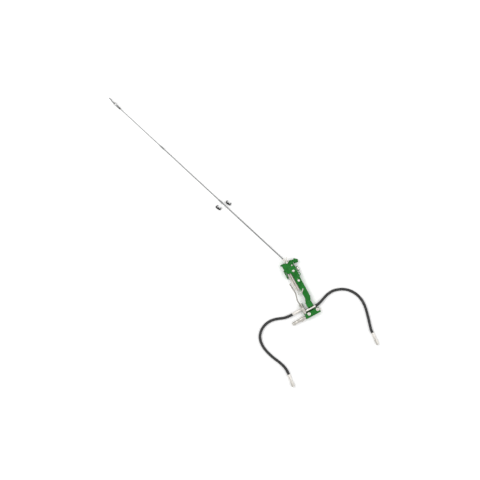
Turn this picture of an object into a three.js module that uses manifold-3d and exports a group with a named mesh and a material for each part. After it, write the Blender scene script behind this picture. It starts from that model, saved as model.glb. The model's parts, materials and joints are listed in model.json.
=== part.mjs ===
// Spring-balanced lance mast for washing tall glass: a green steel mast with a quick
// coupler, a plug valve, two short pressure hoses and a three-section telescopic pole.
// Millimetres, +Z up. The mast lies on its back along +Y, and the origin is on the
// resting surface, under the middle of the port bracket at the mast's foot.
import * as THREE from 'three';
import { mergeVertices } from 'three/addons/utils/BufferGeometryUtils.js';
import Module from 'manifold-3d';

const wasm = await Module();
wasm.setup();

// ---------- driving dimensions ----------
const GAP = 0.3; // left between two pieces that touch
const RUNNING = 0.3; // radial clearance of a pin, shaft or screw in its hole
const PLATE = 5; // thickness of the tie plate and of both head plates
const FINE_SIDES = 20;
const SIDES = 16;
const SMALL_SIDES = 10;

// Mast: a rectangular tube that steps sideways above its foot.
const MAST_WIDTH = 40;
const MAST_DEPTH = 30;
const MAST_WALL = 3;
const MAST_FOOT_Y = 46;
const MAST_TOP_Y = 340;
const STEP_START_Y = 85;
const STEP_END_Y = 113;
const STEP_SHIFT = 13;
const MAST_LEFT = STEP_SHIFT - MAST_WIDTH / 2;
const MAST_RIGHT = STEP_SHIFT + MAST_WIDTH / 2;

// Port bracket at the foot.
const CHANNEL_LEFT = -66;
const CHANNEL_RIGHT = 46;
const CHANNEL_WIDTH = 36;
const CHANNEL_HEIGHT = 27;
const CHANNEL_WALL = 3;
const PORT_BORE_RADIUS = 4;
const PORT_Y = -3;
const PORT_BOLT_SPACING = 68;
const PORT_BOLT_Y = 6;
const PORT_BOLT_RADIUS = 3;
const PORT_BOLT_FLANGE = 12;

// Water line: ferrules, valve and coupler share one height.
const LINE_Z = 16;
const VALVE_X = -55.5;
const VALVE_WIDTH = 27;
const VALVE_START_Y = 24;
const VALVE_LENGTH = 72;
const VALVE_HEIGHT = 26;
const VALVE_BORE_RADIUS = 5;
const PLUG_RADIUS = 8;
const PLUG_Y = 60;
const INLET_Y = 58;
const OUTLET_Y = 34.5;
const FERRULE_RADIUS = 10.2;
const INLET_FERRULE_LENGTH = 64;
const OUTLET_FERRULE_LENGTH = 74;
const COUPLER_LENGTH = 105;
const COUPLER_RADIUS = 12;
const COUPLER_COLLAR_RADIUS = 14.5;
const SLEEVE_LENGTH = 24;
const SLEEVE_TRAVEL = 6;

// Balance springs, side by side along the mast's left.
const SPRING_RADIUS = 7.5;
const SPRING_SPACE = 0.7; // between the mast and the nearer spring
const SPRING_PITCH_X = 2 * SPRING_RADIUS + 0.6;
const SPRING_X = MAST_LEFT - SPRING_SPACE - SPRING_RADIUS - SPRING_PITCH_X / 2;
const SPRING_FOOT_Y = 164;
const SPRING_BODY_START_Y = SPRING_FOOT_Y + 27;
const SPRING_PIN_RADIUS = 3;
const SPRING_WIRE_RADIUS = 1.3;

// Head: two plates either side of the mast's top. Heights are from the pivot down.
const PIVOT = new THREE.Vector2(0, MAST_TOP_Y + 57);
const SPRING_TOP_Y = PIVOT.y - 40;
const SPRING_BODY_END_Y = PIVOT.y - 77;
const PIVOT_RADIUS = 5;
const PIVOT_LUG_RADIUS = 12;
const HEAD_LEFT = SPRING_X - SPRING_PITCH_X / 2 - SPRING_RADIUS - 3.7;
const HEAD_RIGHT = MAST_RIGHT + 4;
const HEAD_TOP_Y = PIVOT.y - 5;
const HEAD_SIDE_LOW_Y = PIVOT.y - 50;
const HEAD_LOW_Y = PIVOT.y - 165;
const FLANGE_THICKNESS = 8;
const FLANGE_RIGHT_END = HEAD_RIGHT - 1;
const FLANGE_RISE = 3.4; // how far the flanges stand above the front plate
const HEAD_BOLT_RADIUS = 4;
const HUB_RADIUS = 16;
const HUB_THICKNESS = 16;

// Lock plunger: where its line leaves the housing, and its slant below +X in degrees.
const LOCK_X = HEAD_RIGHT + 10;
const LOCK_Y = PIVOT.y - 13;
const LOCK_SLANT = 24;
const PLUNGER_RADIUS = 4;
const HOUSING_LENGTH = 12;
const HOUSING_HALF_WIDTH = 9;
const KNOB_LENGTH = 32;
const KNOB_BASE_RADIUS = 18;
const KNOB_END_RADIUS = 10;

// Pole: three tubes that slide into each other.
const POLE_LEAN = 18.7; // degrees to the left of the mast
const WALL_TUBE = 0.5;
const LOWER_RADIUS = 4.4;
const SLIDE_CLEARANCE = 0.3;
const LOWER_START = 12;
const LOWER_END = 620;
const MIDDLE_START = 520;
const MIDDLE_END = 1178;
const TOP_START = 1080;
const TOP_END = 1600;
const COLLAR_GROWTH = 1.2; // wall of a lock collar
const COLLAR_LENGTH = 40;
const TIP_PIVOT = 1640;
const TIP_END = 1692;

// Hoses: DN10 two-braid, with swivel-nut fittings on their far ends.
const HOSE_RADIUS = 9.5;
const HOSE_SIDES = 10;
const HOSE_STEPS = 34;
const FITTING_Z = 12;
const FITTING_LENGTH = 91;
const FITTING_NUT_RADIUS = 11.8;
const LEFT_HOSE_END = [[-362.5, -298.5, FITTING_Z], -0.126];
const RIGHT_HOSE_END = [[291.7, -322, FITTING_Z], -0.06];

// Derived heights.
const MAST_LOW_Z = PLATE + GAP;
const MAST_HIGH_Z = MAST_LOW_Z + MAST_DEPTH;
const AXIS_Z = (MAST_LOW_Z + MAST_HIGH_Z) / 2;
const FRONT_LOW_Z = MAST_HIGH_Z + GAP;
const FRONT_HIGH_Z = FRONT_LOW_Z + PLATE;
const CHANNEL_HIGH_Z = MAST_LOW_Z + CHANNEL_HEIGHT;
const VALVE_HIGH_Z = MAST_LOW_Z + VALVE_HEIGHT;
const VALVE_LEFT = VALVE_X - VALVE_WIDTH / 2;
const VALVE_RIGHT = VALVE_X + VALVE_WIDTH / 2;

// ---------- finishes ----------
function finish(color, roughness, metalness) {
  return () => new THREE.MeshStandardMaterial({ color, roughness, metalness });
}
const greenPaint = finish(0x268230, 0.42, 0.1);
const zinc = finish(0xe6e6e2, 0.34, 0.9);
const steel = finish(0xa8a5a0, 0.4, 0.9);
const darkSteel = finish(0x55544f, 0.5, 0.9);
const springSteel = finish(0x96918c, 0.38, 0.9);
const aluminium = finish(0xa4a5a5, 0.36, 0.9);
const rubber = finish(0x323232, 0.62, 0);
const blackPlastic = finish(0x101010, 0.5, 0);

// ---------- solids ----------
// A closed geometry as a manifold, with its faces turned outwards.
function solid(geometry) {
  geometry.deleteAttribute('normal');
  geometry.deleteAttribute('uv');
  const merged = mergeVertices(geometry, 1e-3);
  const position = merged.attributes.position.array;
  const corner = (i) => new THREE.Vector3().fromArray(position, 3 * i);
  const faces = [];
  let volume = 0;
  for (let i = 0; i < merged.index.count; i += 3) {
    const [a, b, c] = merged.index.array.slice(i, i + 3);
    if (a === b || b === c || c === a) continue;
    faces.push([a, b, c]);
    volume += corner(a).dot(corner(b).cross(corner(c)));
  }
  const outward = volume > 0 ? faces : faces.map(([a, b, c]) => [a, c, b]);
  return new wasm.Manifold(new wasm.Mesh({
    numProp: 3,
    vertProperties: new Float32Array(position),
    triVerts: new Uint32Array(outward.flat()),
  }));
}

function box(x0, x1, y0, y1, z0, z1) {
  const geometry = new THREE.BoxGeometry(x1 - x0, y1 - y0, z1 - z0);
  geometry.translate((x0 + x1) / 2, (y0 + y1) / 2, (z0 + z1) / 2);
  return solid(geometry);
}

// Turns a geometry made along +Y so that it runs from one point along a direction.
function along(geometry, start, direction) {
  const turn = new THREE.Quaternion();
  turn.setFromUnitVectors(new THREE.Vector3(0, 1, 0), direction.clone().normalize());
  geometry.applyQuaternion(turn);
  geometry.translate(start.x, start.y, start.z);
  return geometry;
}

function rod(from, to, radius, sides = SIDES, endRadius = radius) {
  const start = new THREE.Vector3(...from);
  const span = new THREE.Vector3(...to).sub(start);
  const geometry = new THREE.CylinderGeometry(endRadius, radius, span.length(), sides);
  geometry.translate(0, span.length() / 2, 0);
  return solid(along(geometry, start, span));
}

// An upright round bar.
function post(x, y, z0, z1, radius, sides = SIDES) {
  return rod([x, y, z0], [x, y, z1], radius, sides);
}

// A turned piece: the profile gives [radius, distance] pairs along the direction.
function turned(profile, start, direction, sides = FINE_SIDES) {
  const points = profile.map(([radius, distance]) => new THREE.Vector2(radius, distance));
  const geometry = new THREE.LatheGeometry(points, sides);
  return solid(along(geometry, new THREE.Vector3(...start), new THREE.Vector3(...direction)));
}

// A closed turned ring, bored through.
function ring(radius, bore, start, direction, length, sides = FINE_SIDES) {
  const profile = [[bore, 0], [radius, 0], [radius, length], [bore, length], [bore, 0]];
  return turned(profile, start, direction, sides);
}

function prism(outline, z0, z1) {
  const shape = outline instanceof THREE.Shape
    ? outline
    : new THREE.Shape(outline.map(([x, y]) => new THREE.Vector2(x, y)));
  const geometry = new THREE.ExtrudeGeometry(shape, {
    depth: z1 - z0, bevelEnabled: false, curveSegments: SMALL_SIDES,
  });
  geometry.translate(0, 0, z0);
  return solid(geometry);
}

function hexagon(radius, y0, y1) {
  return solid(new THREE.CylinderGeometry(radius, radius, y1 - y0, 6)
    .translate(0, (y0 + y1) / 2, 0));
}

// A round bar that follows a list of points.
function swept(points, radius, sides, steps) {
  const section = new THREE.Shape();
  section.absarc(0, 0, radius, 0, 2 * Math.PI);
  const path = new THREE.CatmullRomCurve3(points.map((p) => new THREE.Vector3(...p)));
  const outline = new THREE.Shape(section.getPoints(sides).slice(0, sides));
  return solid(new THREE.ExtrudeGeometry(outline, {
    steps, bevelEnabled: false, extrudePath: path,
  }));
}

const union = (...pieces) => pieces.reduce((all, piece) => all.add(piece));
const cut = (body, ...tools) => tools.reduce((rest, tool) => rest.subtract(tool), body);

const system = new THREE.Group();

// Adds a finished solid as a named mesh with a material of its own.
function add(name, manifold, material, parent = system) {
  const { vertProperties, triVerts, numProp } = manifold.getMesh();
  const position = new Float32Array((vertProperties.length / numProp) * 3);
  for (let i = 0; i < position.length / 3; i += 1) {
    for (let axis = 0; axis < 3; axis += 1) {
      position[3 * i + axis] = vertProperties[numProp * i + axis];
    }
  }
  const geometry = new THREE.BufferGeometry();
  geometry.setAttribute('position', new THREE.BufferAttribute(position, 3));
  geometry.setIndex(new THREE.BufferAttribute(new Uint32Array(triVerts), 1));
  geometry.computeVertexNormals();
  const mesh = new THREE.Mesh(geometry, material());
  mesh.name = name;
  parent.add(mesh);
  return mesh;
}

// ---------- foot: tie plate, port bracket and manifold ----------
const portBoltX = [-PORT_BOLT_SPACING / 2, PORT_BOLT_SPACING / 2];

function tiePlate() {
  const half = CHANNEL_WIDTH / 2;
  const neck = MAST_WIDTH / 2;
  const outline = [
    [CHANNEL_LEFT, -half], [CHANNEL_RIGHT, -half], [CHANNEL_RIGHT, half], [neck, half],
    [neck, STEP_START_Y], [-neck, STEP_START_Y], [-neck, OUTLET_Y + 6],
    [VALVE_RIGHT - 1, OUTLET_Y + 6], [VALVE_RIGHT - 1, VALVE_START_Y + VALVE_LENGTH - 4],
    [VALVE_LEFT + 1, VALVE_START_Y + VALVE_LENGTH - 4], [VALVE_LEFT + 1, half + 4],
    [CHANNEL_LEFT, half],
  ];
  const holes = portBoltX.map((x) => post(x, PORT_BOLT_Y, -1, PLATE + 1,
    PORT_BOLT_RADIUS + RUNNING, SMALL_SIDES));
  return cut(prism(outline, 0, PLATE), ...holes);
}

function portChannel() {
  const half = CHANNEL_WIDTH / 2;
  const shell = box(CHANNEL_LEFT, CHANNEL_RIGHT, -half, half, MAST_LOW_Z, CHANNEL_HIGH_Z);
  const inner = half - CHANNEL_WALL;
  const hollow = box(CHANNEL_LEFT - 1, CHANNEL_RIGHT + 1, -inner, inner,
    MAST_LOW_Z - 1, CHANNEL_HIGH_Z - CHANNEL_WALL);
  const bolts = portBoltX.map((x) => post(x, PORT_BOLT_Y, 0, CHANNEL_HIGH_Z + 1,
    PORT_BOLT_RADIUS + RUNNING, SMALL_SIDES));
  const link = rod([VALVE_X, 0, LINE_Z], [VALVE_X, half + 1, LINE_Z],
    VALVE_BORE_RADIUS + 1.5 + RUNNING);
  return cut(shell, hollow, ...bolts, link);
}

function manifoldBlock() {
  const half = CHANNEL_WIDTH / 2 - CHANNEL_WALL - GAP;
  const block = box(CHANNEL_LEFT + GAP, CHANNEL_RIGHT - GAP, -half, half,
    MAST_LOW_Z, CHANNEL_HIGH_Z - CHANNEL_WALL - GAP);
  const gallery = rod([CHANNEL_LEFT - 1, PORT_Y, LINE_Z], [CHANNEL_RIGHT + 1, PORT_Y, LINE_Z],
    PORT_BORE_RADIUS);
  const branch = rod([VALVE_X, PORT_Y, LINE_Z], [VALVE_X, half + 1, LINE_Z],
    VALVE_BORE_RADIUS + 1.5 + GAP);
  const bolts = portBoltX.map((x) => post(x, PORT_BOLT_Y, 0, CHANNEL_HIGH_Z,
    PORT_BOLT_RADIUS + RUNNING, SMALL_SIDES));
  return cut(block, gallery, branch, ...bolts);
}

// A bolt seen from above: a wide washer head, a cap and a shank down to the lower plate.
function cappedBolt(x, y, shank, head, seatZ, headHeight, capRadius) {
  const bottom = GAP;
  const profile = [
    [0, bottom], [shank, bottom], [shank, seatZ], [head, seatZ], [head, seatZ + headHeight],
    [capRadius, seatZ + headHeight], [capRadius - 1, seatZ + headHeight + 3],
    [0, seatZ + headHeight + 3],
  ];
  return turned(profile, [x, y, 0], [0, 0, 1], SIDES);
}

add('tie_plate', tiePlate(), greenPaint);
add('port_channel', portChannel(), greenPaint);
add('manifold_block', manifoldBlock(), steel);
['left', 'right'].forEach((side, i) => {
  add(`port_bolt_${side}`, cappedBolt(portBoltX[i], PORT_BOLT_Y, PORT_BOLT_RADIUS,
    PORT_BOLT_FLANGE, CHANNEL_HIGH_Z + GAP, 3, 7), zinc);
});

const plugProfile = [
  [0, -8], [PORT_BORE_RADIUS - GAP, -8], [PORT_BORE_RADIUS - GAP, GAP], [8, GAP],
  [8, 6], [6.5, 8], [0, 8],
];
add('manifold_end_plug',
  turned(plugProfile, [CHANNEL_RIGHT, PORT_Y, LINE_Z], [1, 0, 0], SMALL_SIDES), zinc);

// ---------- coupler, pointing along -X ----------
function couplerBody() {
  const bore = 6;
  const end = COUPLER_LENGTH;
  const sleeveStart = end - SLEEVE_LENGTH - SLEEVE_TRAVEL - 1;
  const neck = COUPLER_RADIUS - 2.5;
  const profile = [
    [0, -8], [PORT_BORE_RADIUS - GAP, -8], [PORT_BORE_RADIUS - GAP, GAP],
    [COUPLER_RADIUS, GAP], [COUPLER_RADIUS, 4], [COUPLER_COLLAR_RADIUS, 4],
    [COUPLER_COLLAR_RADIUS, 39], [COUPLER_RADIUS, 39], [COUPLER_RADIUS, sleeveStart],
    [neck, sleeveStart], [neck, end], [bore, end], [bore, 55], [0, 55],
  ];
  const lug = box(CHANNEL_LEFT - 38, CHANNEL_LEFT - 30, PORT_Y - COUPLER_COLLAR_RADIUS - 4,
    PORT_Y - COUPLER_COLLAR_RADIUS + 3, LINE_Z - 4, LINE_Z + 4);
  return turned(profile, [CHANNEL_LEFT, PORT_Y, LINE_Z], [-1, 0, 0]).add(lug);
}
add('coupler_body', couplerBody(), steel);
add('coupler_sleeve', ring(COUPLER_RADIUS, COUPLER_RADIUS - 2.5 + RUNNING,
  [CHANNEL_LEFT - COUPLER_LENGTH + SLEEVE_LENGTH, PORT_Y, LINE_Z], [-1, 0, 0],
  SLEEVE_LENGTH), steel);

// ---------- plug valve and the two fixed ferrules ----------
function valveBody() {
  const block = box(VALVE_LEFT, VALVE_RIGHT, VALVE_START_Y, VALVE_START_Y + VALVE_LENGTH,
    MAST_LOW_Z, VALVE_HIGH_Z);
  const gallery = rod([VALVE_X, VALVE_START_Y - 1, LINE_Z], [VALVE_X, PLUG_Y, LINE_Z],
    VALVE_BORE_RADIUS);
  const inlet = rod([VALVE_LEFT - 1, INLET_Y, LINE_Z], [VALVE_X, INLET_Y, LINE_Z],
    VALVE_BORE_RADIUS);
  const outlet = rod([VALVE_X, OUTLET_Y, LINE_Z], [VALVE_RIGHT + 1, OUTLET_Y, LINE_Z],
    VALVE_BORE_RADIUS);
  const pocket = post(VALVE_X, PLUG_Y, MAST_LOW_Z + 2.3, VALVE_HIGH_Z + 1,
    PLUG_RADIUS + RUNNING);
  return cut(block, gallery, inlet, outlet, pocket);
}
add('valve_body', valveBody(), steel);

const plugTopZ = LINE_Z + 7.5;
const bonnetFlangeZ = VALVE_HIGH_Z + GAP;
const leverLowZ = bonnetFlangeZ + 3 + GAP;
const leverZ = leverLowZ + 5;
function valvePlug() {
  const stem = 4;
  const profile = [
    [0, MAST_LOW_Z + 2.6], [PLUG_RADIUS, MAST_LOW_Z + 2.6], [PLUG_RADIUS, plugTopZ],
    [stem, plugTopZ], [stem, leverZ + 6], [0, leverZ + 6],
  ];
  const waterway = rod([VALVE_X - 12, PLUG_Y, LINE_Z], [VALVE_X + 12, PLUG_Y, LINE_Z], 4);
  return cut(turned(profile, [VALVE_X, PLUG_Y, 0], [0, 0, 1], SIDES), waterway);
}
function valveBonnet() {
  const stem = 4 + RUNNING;
  const profile = [
    [stem, plugTopZ + GAP], [PLUG_RADIUS, plugTopZ + GAP], [PLUG_RADIUS, bonnetFlangeZ],
    [11, bonnetFlangeZ], [11, bonnetFlangeZ + 3], [stem, bonnetFlangeZ + 3],
    [stem, plugTopZ + GAP],
  ];
  return turned(profile, [VALVE_X, PLUG_Y, 0], [0, 0, 1], SIDES);
}
add('valve_plug', valvePlug(), zinc);
add('valve_bonnet', valveBonnet(), zinc);

const LEVER_ROUTE = [[-57, 66], [-59.5, 98], [-61, 130], [-49, 178], [-50, 213], [-52, 244]];
const LEVER_RADIUS = 4.5;
const LEVER_END = [-52, 251];
function valveLever() {
  const route = LEVER_ROUTE.map(([x, y]) => [x, y, leverZ]);
  const bar = swept(route, LEVER_RADIUS, SMALL_SIDES, 20);
  const hub = post(VALVE_X, PLUG_Y, leverLowZ, leverLowZ + 8, 10);
  const hole = post(VALVE_X, PLUG_Y, leverLowZ - 1, leverZ + 12, 4 + GAP);
  return cut(bar.add(hub), hole);
}
add('valve_lever', valveLever(), steel);
add('lever_knob', cut(
  solid(new THREE.SphereGeometry(7, 16, 12).translate(...LEVER_END, leverZ)),
  rod([-51.5, 236, leverZ], [-52, 244.3 + GAP, leverZ], LEVER_RADIUS + GAP, SMALL_SIDES),
), steel);

// A crimped ferrule with a threaded tail that enters the valve body.
function fixedFerrule(length) {
  const r = FERRULE_RADIUS;
  const tail = -(VALVE_WIDTH / 2 - PLUG_RADIUS - 1);
  return [
    [0, tail], [VALVE_BORE_RADIUS - GAP, tail], [VALVE_BORE_RADIUS - GAP, GAP], [r - 1.5, GAP],
    [r - 1.5, 6], [r, 7], [r, length - 1.5], [r - 0.7, length], [0, length],
  ];
}
add('inlet_ferrule', turned(fixedFerrule(INLET_FERRULE_LENGTH + 4),
  [VALVE_LEFT, INLET_Y, LINE_Z], [-1, 0, 0]), zinc);
add('outlet_ferrule', turned(fixedFerrule(OUTLET_FERRULE_LENGTH),
  [VALVE_RIGHT, OUTLET_Y, LINE_Z], [1, 0, 0]), zinc);

const branchTail = CHANNEL_WIDTH / 2 - CHANNEL_WALL - 4;
add('link_nipple', ring(VALVE_BORE_RADIUS + 1.5, 3.5, [VALVE_X, branchTail, LINE_Z],
  [0, 1, 0], VALVE_START_Y - GAP - branchTail, SIDES), zinc);

// ---------- mast ----------
const headBolts = [
  { name: 'head_bolt_upper', x: STEP_SHIFT + 1, y: PIVOT.y - 74, head: 8.5 },
  { name: 'head_bolt_lower', x: STEP_SHIFT + 1, y: PIVOT.y - 151, head: 8.5 },
  { name: 'head_bolt_side', x: MAST_RIGHT - 11.3, y: PIVOT.y - 34, head: 6 },
];
const boltHoles = (z0, z1) => headBolts.map(({ x, y }) => post(x, y, z0, z1,
  HEAD_BOLT_RADIUS + RUNNING, SMALL_SIDES));

function mastOutline(inset, overrun) {
  const half = MAST_WIDTH / 2 - inset;
  const rows = [
    [0, MAST_FOOT_Y - overrun], [0, STEP_START_Y], [STEP_SHIFT, STEP_END_Y],
    [STEP_SHIFT, MAST_TOP_Y + overrun],
  ];
  const right = rows.map(([x, y]) => [x + half, y]);
  const left = rows.map(([x, y]) => [x - half, y]).reverse();
  return [...right, ...left];
}

const STRAP_PIN_HOLE = SPRING_PIN_RADIUS + RUNNING;
function mastTube() {
  const outer = prism(mastOutline(0, 0), MAST_LOW_Z, MAST_HIGH_Z);
  const inner = prism(mastOutline(MAST_WALL, 1), MAST_LOW_Z + MAST_WALL, MAST_HIGH_Z - MAST_WALL);
  const pinHole = rod([MAST_LEFT - 5, SPRING_FOOT_Y, AXIS_Z], [MAST_LEFT + 10, SPRING_FOOT_Y,
    AXIS_Z], STRAP_PIN_HOLE, SMALL_SIDES);
  return cut(outer, inner, pinHole, ...boltHoles(0, MAST_HIGH_Z + 1));
}
add('mast_tube', mastTube(), greenPaint);

// ---------- head ----------
function headPlate(z0, z1) {
  const outline = new THREE.Shape();
  outline.moveTo(HEAD_LEFT, HEAD_TOP_Y);
  outline.lineTo(HEAD_LEFT, HEAD_SIDE_LOW_Y);
  outline.lineTo(HEAD_LEFT + 8, PIVOT.y - 73);
  outline.lineTo(MAST_LEFT, PIVOT.y - 83);
  outline.lineTo(MAST_LEFT, HEAD_LOW_Y);
  outline.lineTo(MAST_RIGHT, HEAD_LOW_Y);
  outline.lineTo(MAST_RIGHT, HEAD_LOW_Y + 33);
  outline.lineTo(HEAD_RIGHT, HEAD_LOW_Y + 43);
  outline.lineTo(HEAD_RIGHT, HEAD_TOP_Y);
  outline.lineTo(PIVOT.x + PIVOT_LUG_RADIUS, HEAD_TOP_Y);
  outline.lineTo(PIVOT.x + PIVOT_LUG_RADIUS, PIVOT.y);
  outline.absarc(PIVOT.x, PIVOT.y, PIVOT_LUG_RADIUS, 0, Math.PI);
  outline.lineTo(PIVOT.x - PIVOT_LUG_RADIUS, HEAD_TOP_Y);
  const pivotHole = post(PIVOT.x, PIVOT.y, z0 - 1, z1 + 1, PIVOT_RADIUS + RUNNING);
  return cut(prism(outline, z0, z1), pivotHole, ...boltHoles(z0 - 1, z1 + 1));
}
add('head_back_plate', headPlate(0, PLATE), greenPaint);
add('head_front_plate', headPlate(FRONT_LOW_Z, FRONT_HIGH_Z), greenPaint);

const flangeLowY = HEAD_TOP_Y + GAP;
add('flange_left', box(HEAD_LEFT - 9, -HUB_RADIUS - 2, flangeLowY, flangeLowY + FLANGE_THICKNESS, GAP,
  FRONT_HIGH_Z + FLANGE_RISE), greenPaint);
// The right flange stops above the lock plunger, which passes behind it.
add('flange_right', box(HUB_RADIUS + 3, FLANGE_RIGHT_END, flangeLowY,
  flangeLowY + FLANGE_THICKNESS, AXIS_Z + PLUNGER_RADIUS + 2,
  FRONT_HIGH_Z + FLANGE_RISE), greenPaint);

headBolts.forEach(({ name, x, y, head }) => {
  add(name, cappedBolt(x, y, HEAD_BOLT_RADIUS, head, FRONT_HIGH_Z + GAP, 3, head * 0.62), zinc);
});
const sideBolt = headBolts[2];
add('head_spacer', ring(7, HEAD_BOLT_RADIUS + RUNNING, [sideBolt.x, sideBolt.y, MAST_LOW_Z],
  [0, 0, 1], MAST_DEPTH, SIDES), zinc);

// Thin steel guard along the springs, with a rounded lower end.
function springGuard() {
  const half = 4;
  const x = HEAD_LEFT - GAP - half;
  const high = PIVOT.y - 42;
  const low = PIVOT.y - 106;
  const outline = new THREE.Shape();
  outline.moveTo(x + half, high);
  outline.lineTo(x - half, high);
  outline.lineTo(x - half, low);
  outline.absarc(x, low, half, Math.PI, 2 * Math.PI);
  return prism(outline, 6, FRONT_HIGH_Z - 6);
}
add('spring_guard', springGuard(), greenPaint);

// ---------- springs ----------
const springXs = [SPRING_X - SPRING_PITCH_X / 2, SPRING_X + SPRING_PITCH_X / 2];
function springSolid(x) {
  const hookRadius = SPRING_PIN_RADIUS + SPRING_WIRE_RADIUS + 0.7;
  const hook = (y) => {
    const loop = new THREE.TorusGeometry(hookRadius, SPRING_WIRE_RADIUS, 6, 14);
    return solid(loop.rotateY(Math.PI / 2).translate(x, y, AXIS_Z));
  };
  const reach = hookRadius - 0.3;
  const lead = (from, to) => rod([x, from, AXIS_Z], [x, to, AXIS_Z], SPRING_WIRE_RADIUS, 8);
  return union(
    rod([x, SPRING_BODY_START_Y, AXIS_Z], [x, SPRING_BODY_END_Y, AXIS_Z], SPRING_RADIUS, 16),
    hook(SPRING_FOOT_Y), lead(SPRING_FOOT_Y + reach, SPRING_BODY_START_Y + 1),
    hook(SPRING_TOP_Y), lead(SPRING_BODY_END_Y - 1, SPRING_TOP_Y - reach),
  );
}
['left', 'right'].forEach((side, i) => {
  add(`spring_${side}`, springSolid(springXs[i]), springSteel);
});

// The springs' lower pin runs through an ear of the slanted strap and the mast's wall.
function springStrap() {
  const low = SPRING_FOOT_Y - 6;
  const high = SPRING_FOOT_Y + 6;
  const outline = [
    [MAST_LEFT - 4, low], [MAST_LEFT + 1, low], [MAST_LEFT + 22.5, high + 10],
    [MAST_LEFT + 18.5, high + 16], [MAST_LEFT, high], [MAST_LEFT - 4, high],
  ];
  const ear = box(MAST_LEFT - 4, MAST_LEFT - GAP, low, high, AXIS_Z - 7, FRONT_LOW_Z + 3);
  const hole = rod([MAST_LEFT - 8, SPRING_FOOT_Y, AXIS_Z], [MAST_LEFT + 2, SPRING_FOOT_Y,
    AXIS_Z], STRAP_PIN_HOLE, SMALL_SIDES);
  return cut(prism(outline, FRONT_LOW_Z, FRONT_LOW_Z + 3).add(ear), hole);
}
add('spring_anchor_strap', springStrap(), steel);
add('spring_anchor_pin', rod([springXs[0] - 5, SPRING_FOOT_Y, AXIS_Z],
  [MAST_LEFT + 8, SPRING_FOOT_Y, AXIS_Z], SPRING_PIN_RADIUS, SMALL_SIDES), zinc);

// ---------- lock plunger, on a line that slants down to the right from the pivot ----------
const lock = new THREE.Group();
const slant = THREE.MathUtils.degToRad(LOCK_SLANT);
lock.position.set(LOCK_X, LOCK_Y, AXIS_Z);
lock.rotation.z = -slant;
system.add(lock);

const knuckleAlong = (PIVOT.x - LOCK_X) * Math.cos(slant) - (PIVOT.y - LOCK_Y) * Math.sin(slant);
const knuckleAside = (PIVOT.x - LOCK_X) * Math.sin(slant) + (PIVOT.y - LOCK_Y) * Math.cos(slant);
const nearestEdge = Math.max(Math.abs(knuckleAside) - PLUNGER_RADIUS, 0);
const plungerTip = knuckleAlong + Math.sqrt(HUB_RADIUS ** 2 - nearestEdge ** 2) + 1.4;
const plungerEnd = 12;
const housingHalfHeight = MAST_DEPTH / 2 - GAP;
add('lock_housing', cut(
  box(-HOUSING_LENGTH, 0, -HOUSING_HALF_WIDTH, HOUSING_HALF_WIDTH, -housingHalfHeight,
    housingHalfHeight),
  rod([-HOUSING_LENGTH - 1, 0, 0], [1, 0, 0], PLUNGER_RADIUS + RUNNING),
), greenPaint, lock);
add('plunger_pin', rod([plungerTip, 0, 0], [plungerEnd, 0, 0], PLUNGER_RADIUS), zinc, lock);
function plungerKnob() {
  const bore = PLUNGER_RADIUS + GAP;
  const profile = [
    [bore, GAP], [KNOB_BASE_RADIUS - 2, GAP], [KNOB_BASE_RADIUS, 3], [KNOB_BASE_RADIUS, 9],
    [KNOB_END_RADIUS + 2, KNOB_LENGTH - 4], [KNOB_END_RADIUS, KNOB_LENGTH],
    [0, KNOB_LENGTH], [0, plungerEnd + GAP], [bore, plungerEnd + GAP], [bore, GAP],
  ];
  return turned(profile, [0, 0, 0], [1, 0, 0]);
}
add('plunger_knob', plungerKnob(), greenPaint, lock);

// ---------- right side: hose roller and guide eye ----------
const ROLLER_X = MAST_RIGHT + 14;
const EAR_LOW_Y = PIVOT.y - 89;
const EAR_HIGH_Y = PIVOT.y - 61;
const EAR_THICKNESS = 4;
const ROLLER_PIN_RADIUS = 2.5;
const ROLLER_RADIUS = 6.5;
const bracketX = MAST_RIGHT + GAP;
function guideBracket() {
  const base = box(bracketX, bracketX + 3, EAR_LOW_Y - 6, EAR_HIGH_Y + 10, 9, MAST_HIGH_Z - 3);
  const ears = [EAR_LOW_Y, EAR_HIGH_Y].map((y) => box(bracketX + 2, ROLLER_X + 8, y,
    y + EAR_THICKNESS, 12, MAST_HIGH_Z - 6));
  const pinHole = rod([ROLLER_X, EAR_LOW_Y - 8, AXIS_Z], [ROLLER_X, EAR_HIGH_Y + 14, AXIS_Z],
    ROLLER_PIN_RADIUS + RUNNING, SMALL_SIDES);
  return cut(union(base, ...ears), pinHole);
}
add('guide_bracket', guideBracket(), greenPaint);
add('guide_roller_pin', rod([ROLLER_X, EAR_LOW_Y - 3, AXIS_Z],
  [ROLLER_X, EAR_HIGH_Y + EAR_THICKNESS + 3, AXIS_Z], ROLLER_PIN_RADIUS, SMALL_SIDES), zinc);
add('guide_roller', ring(ROLLER_RADIUS, ROLLER_PIN_RADIUS + RUNNING,
  [ROLLER_X, EAR_LOW_Y + EAR_THICKNESS + GAP, AXIS_Z], [0, 1, 0],
  EAR_HIGH_Y - EAR_LOW_Y - EAR_THICKNESS - 2 * GAP, SIDES), zinc);

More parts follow.
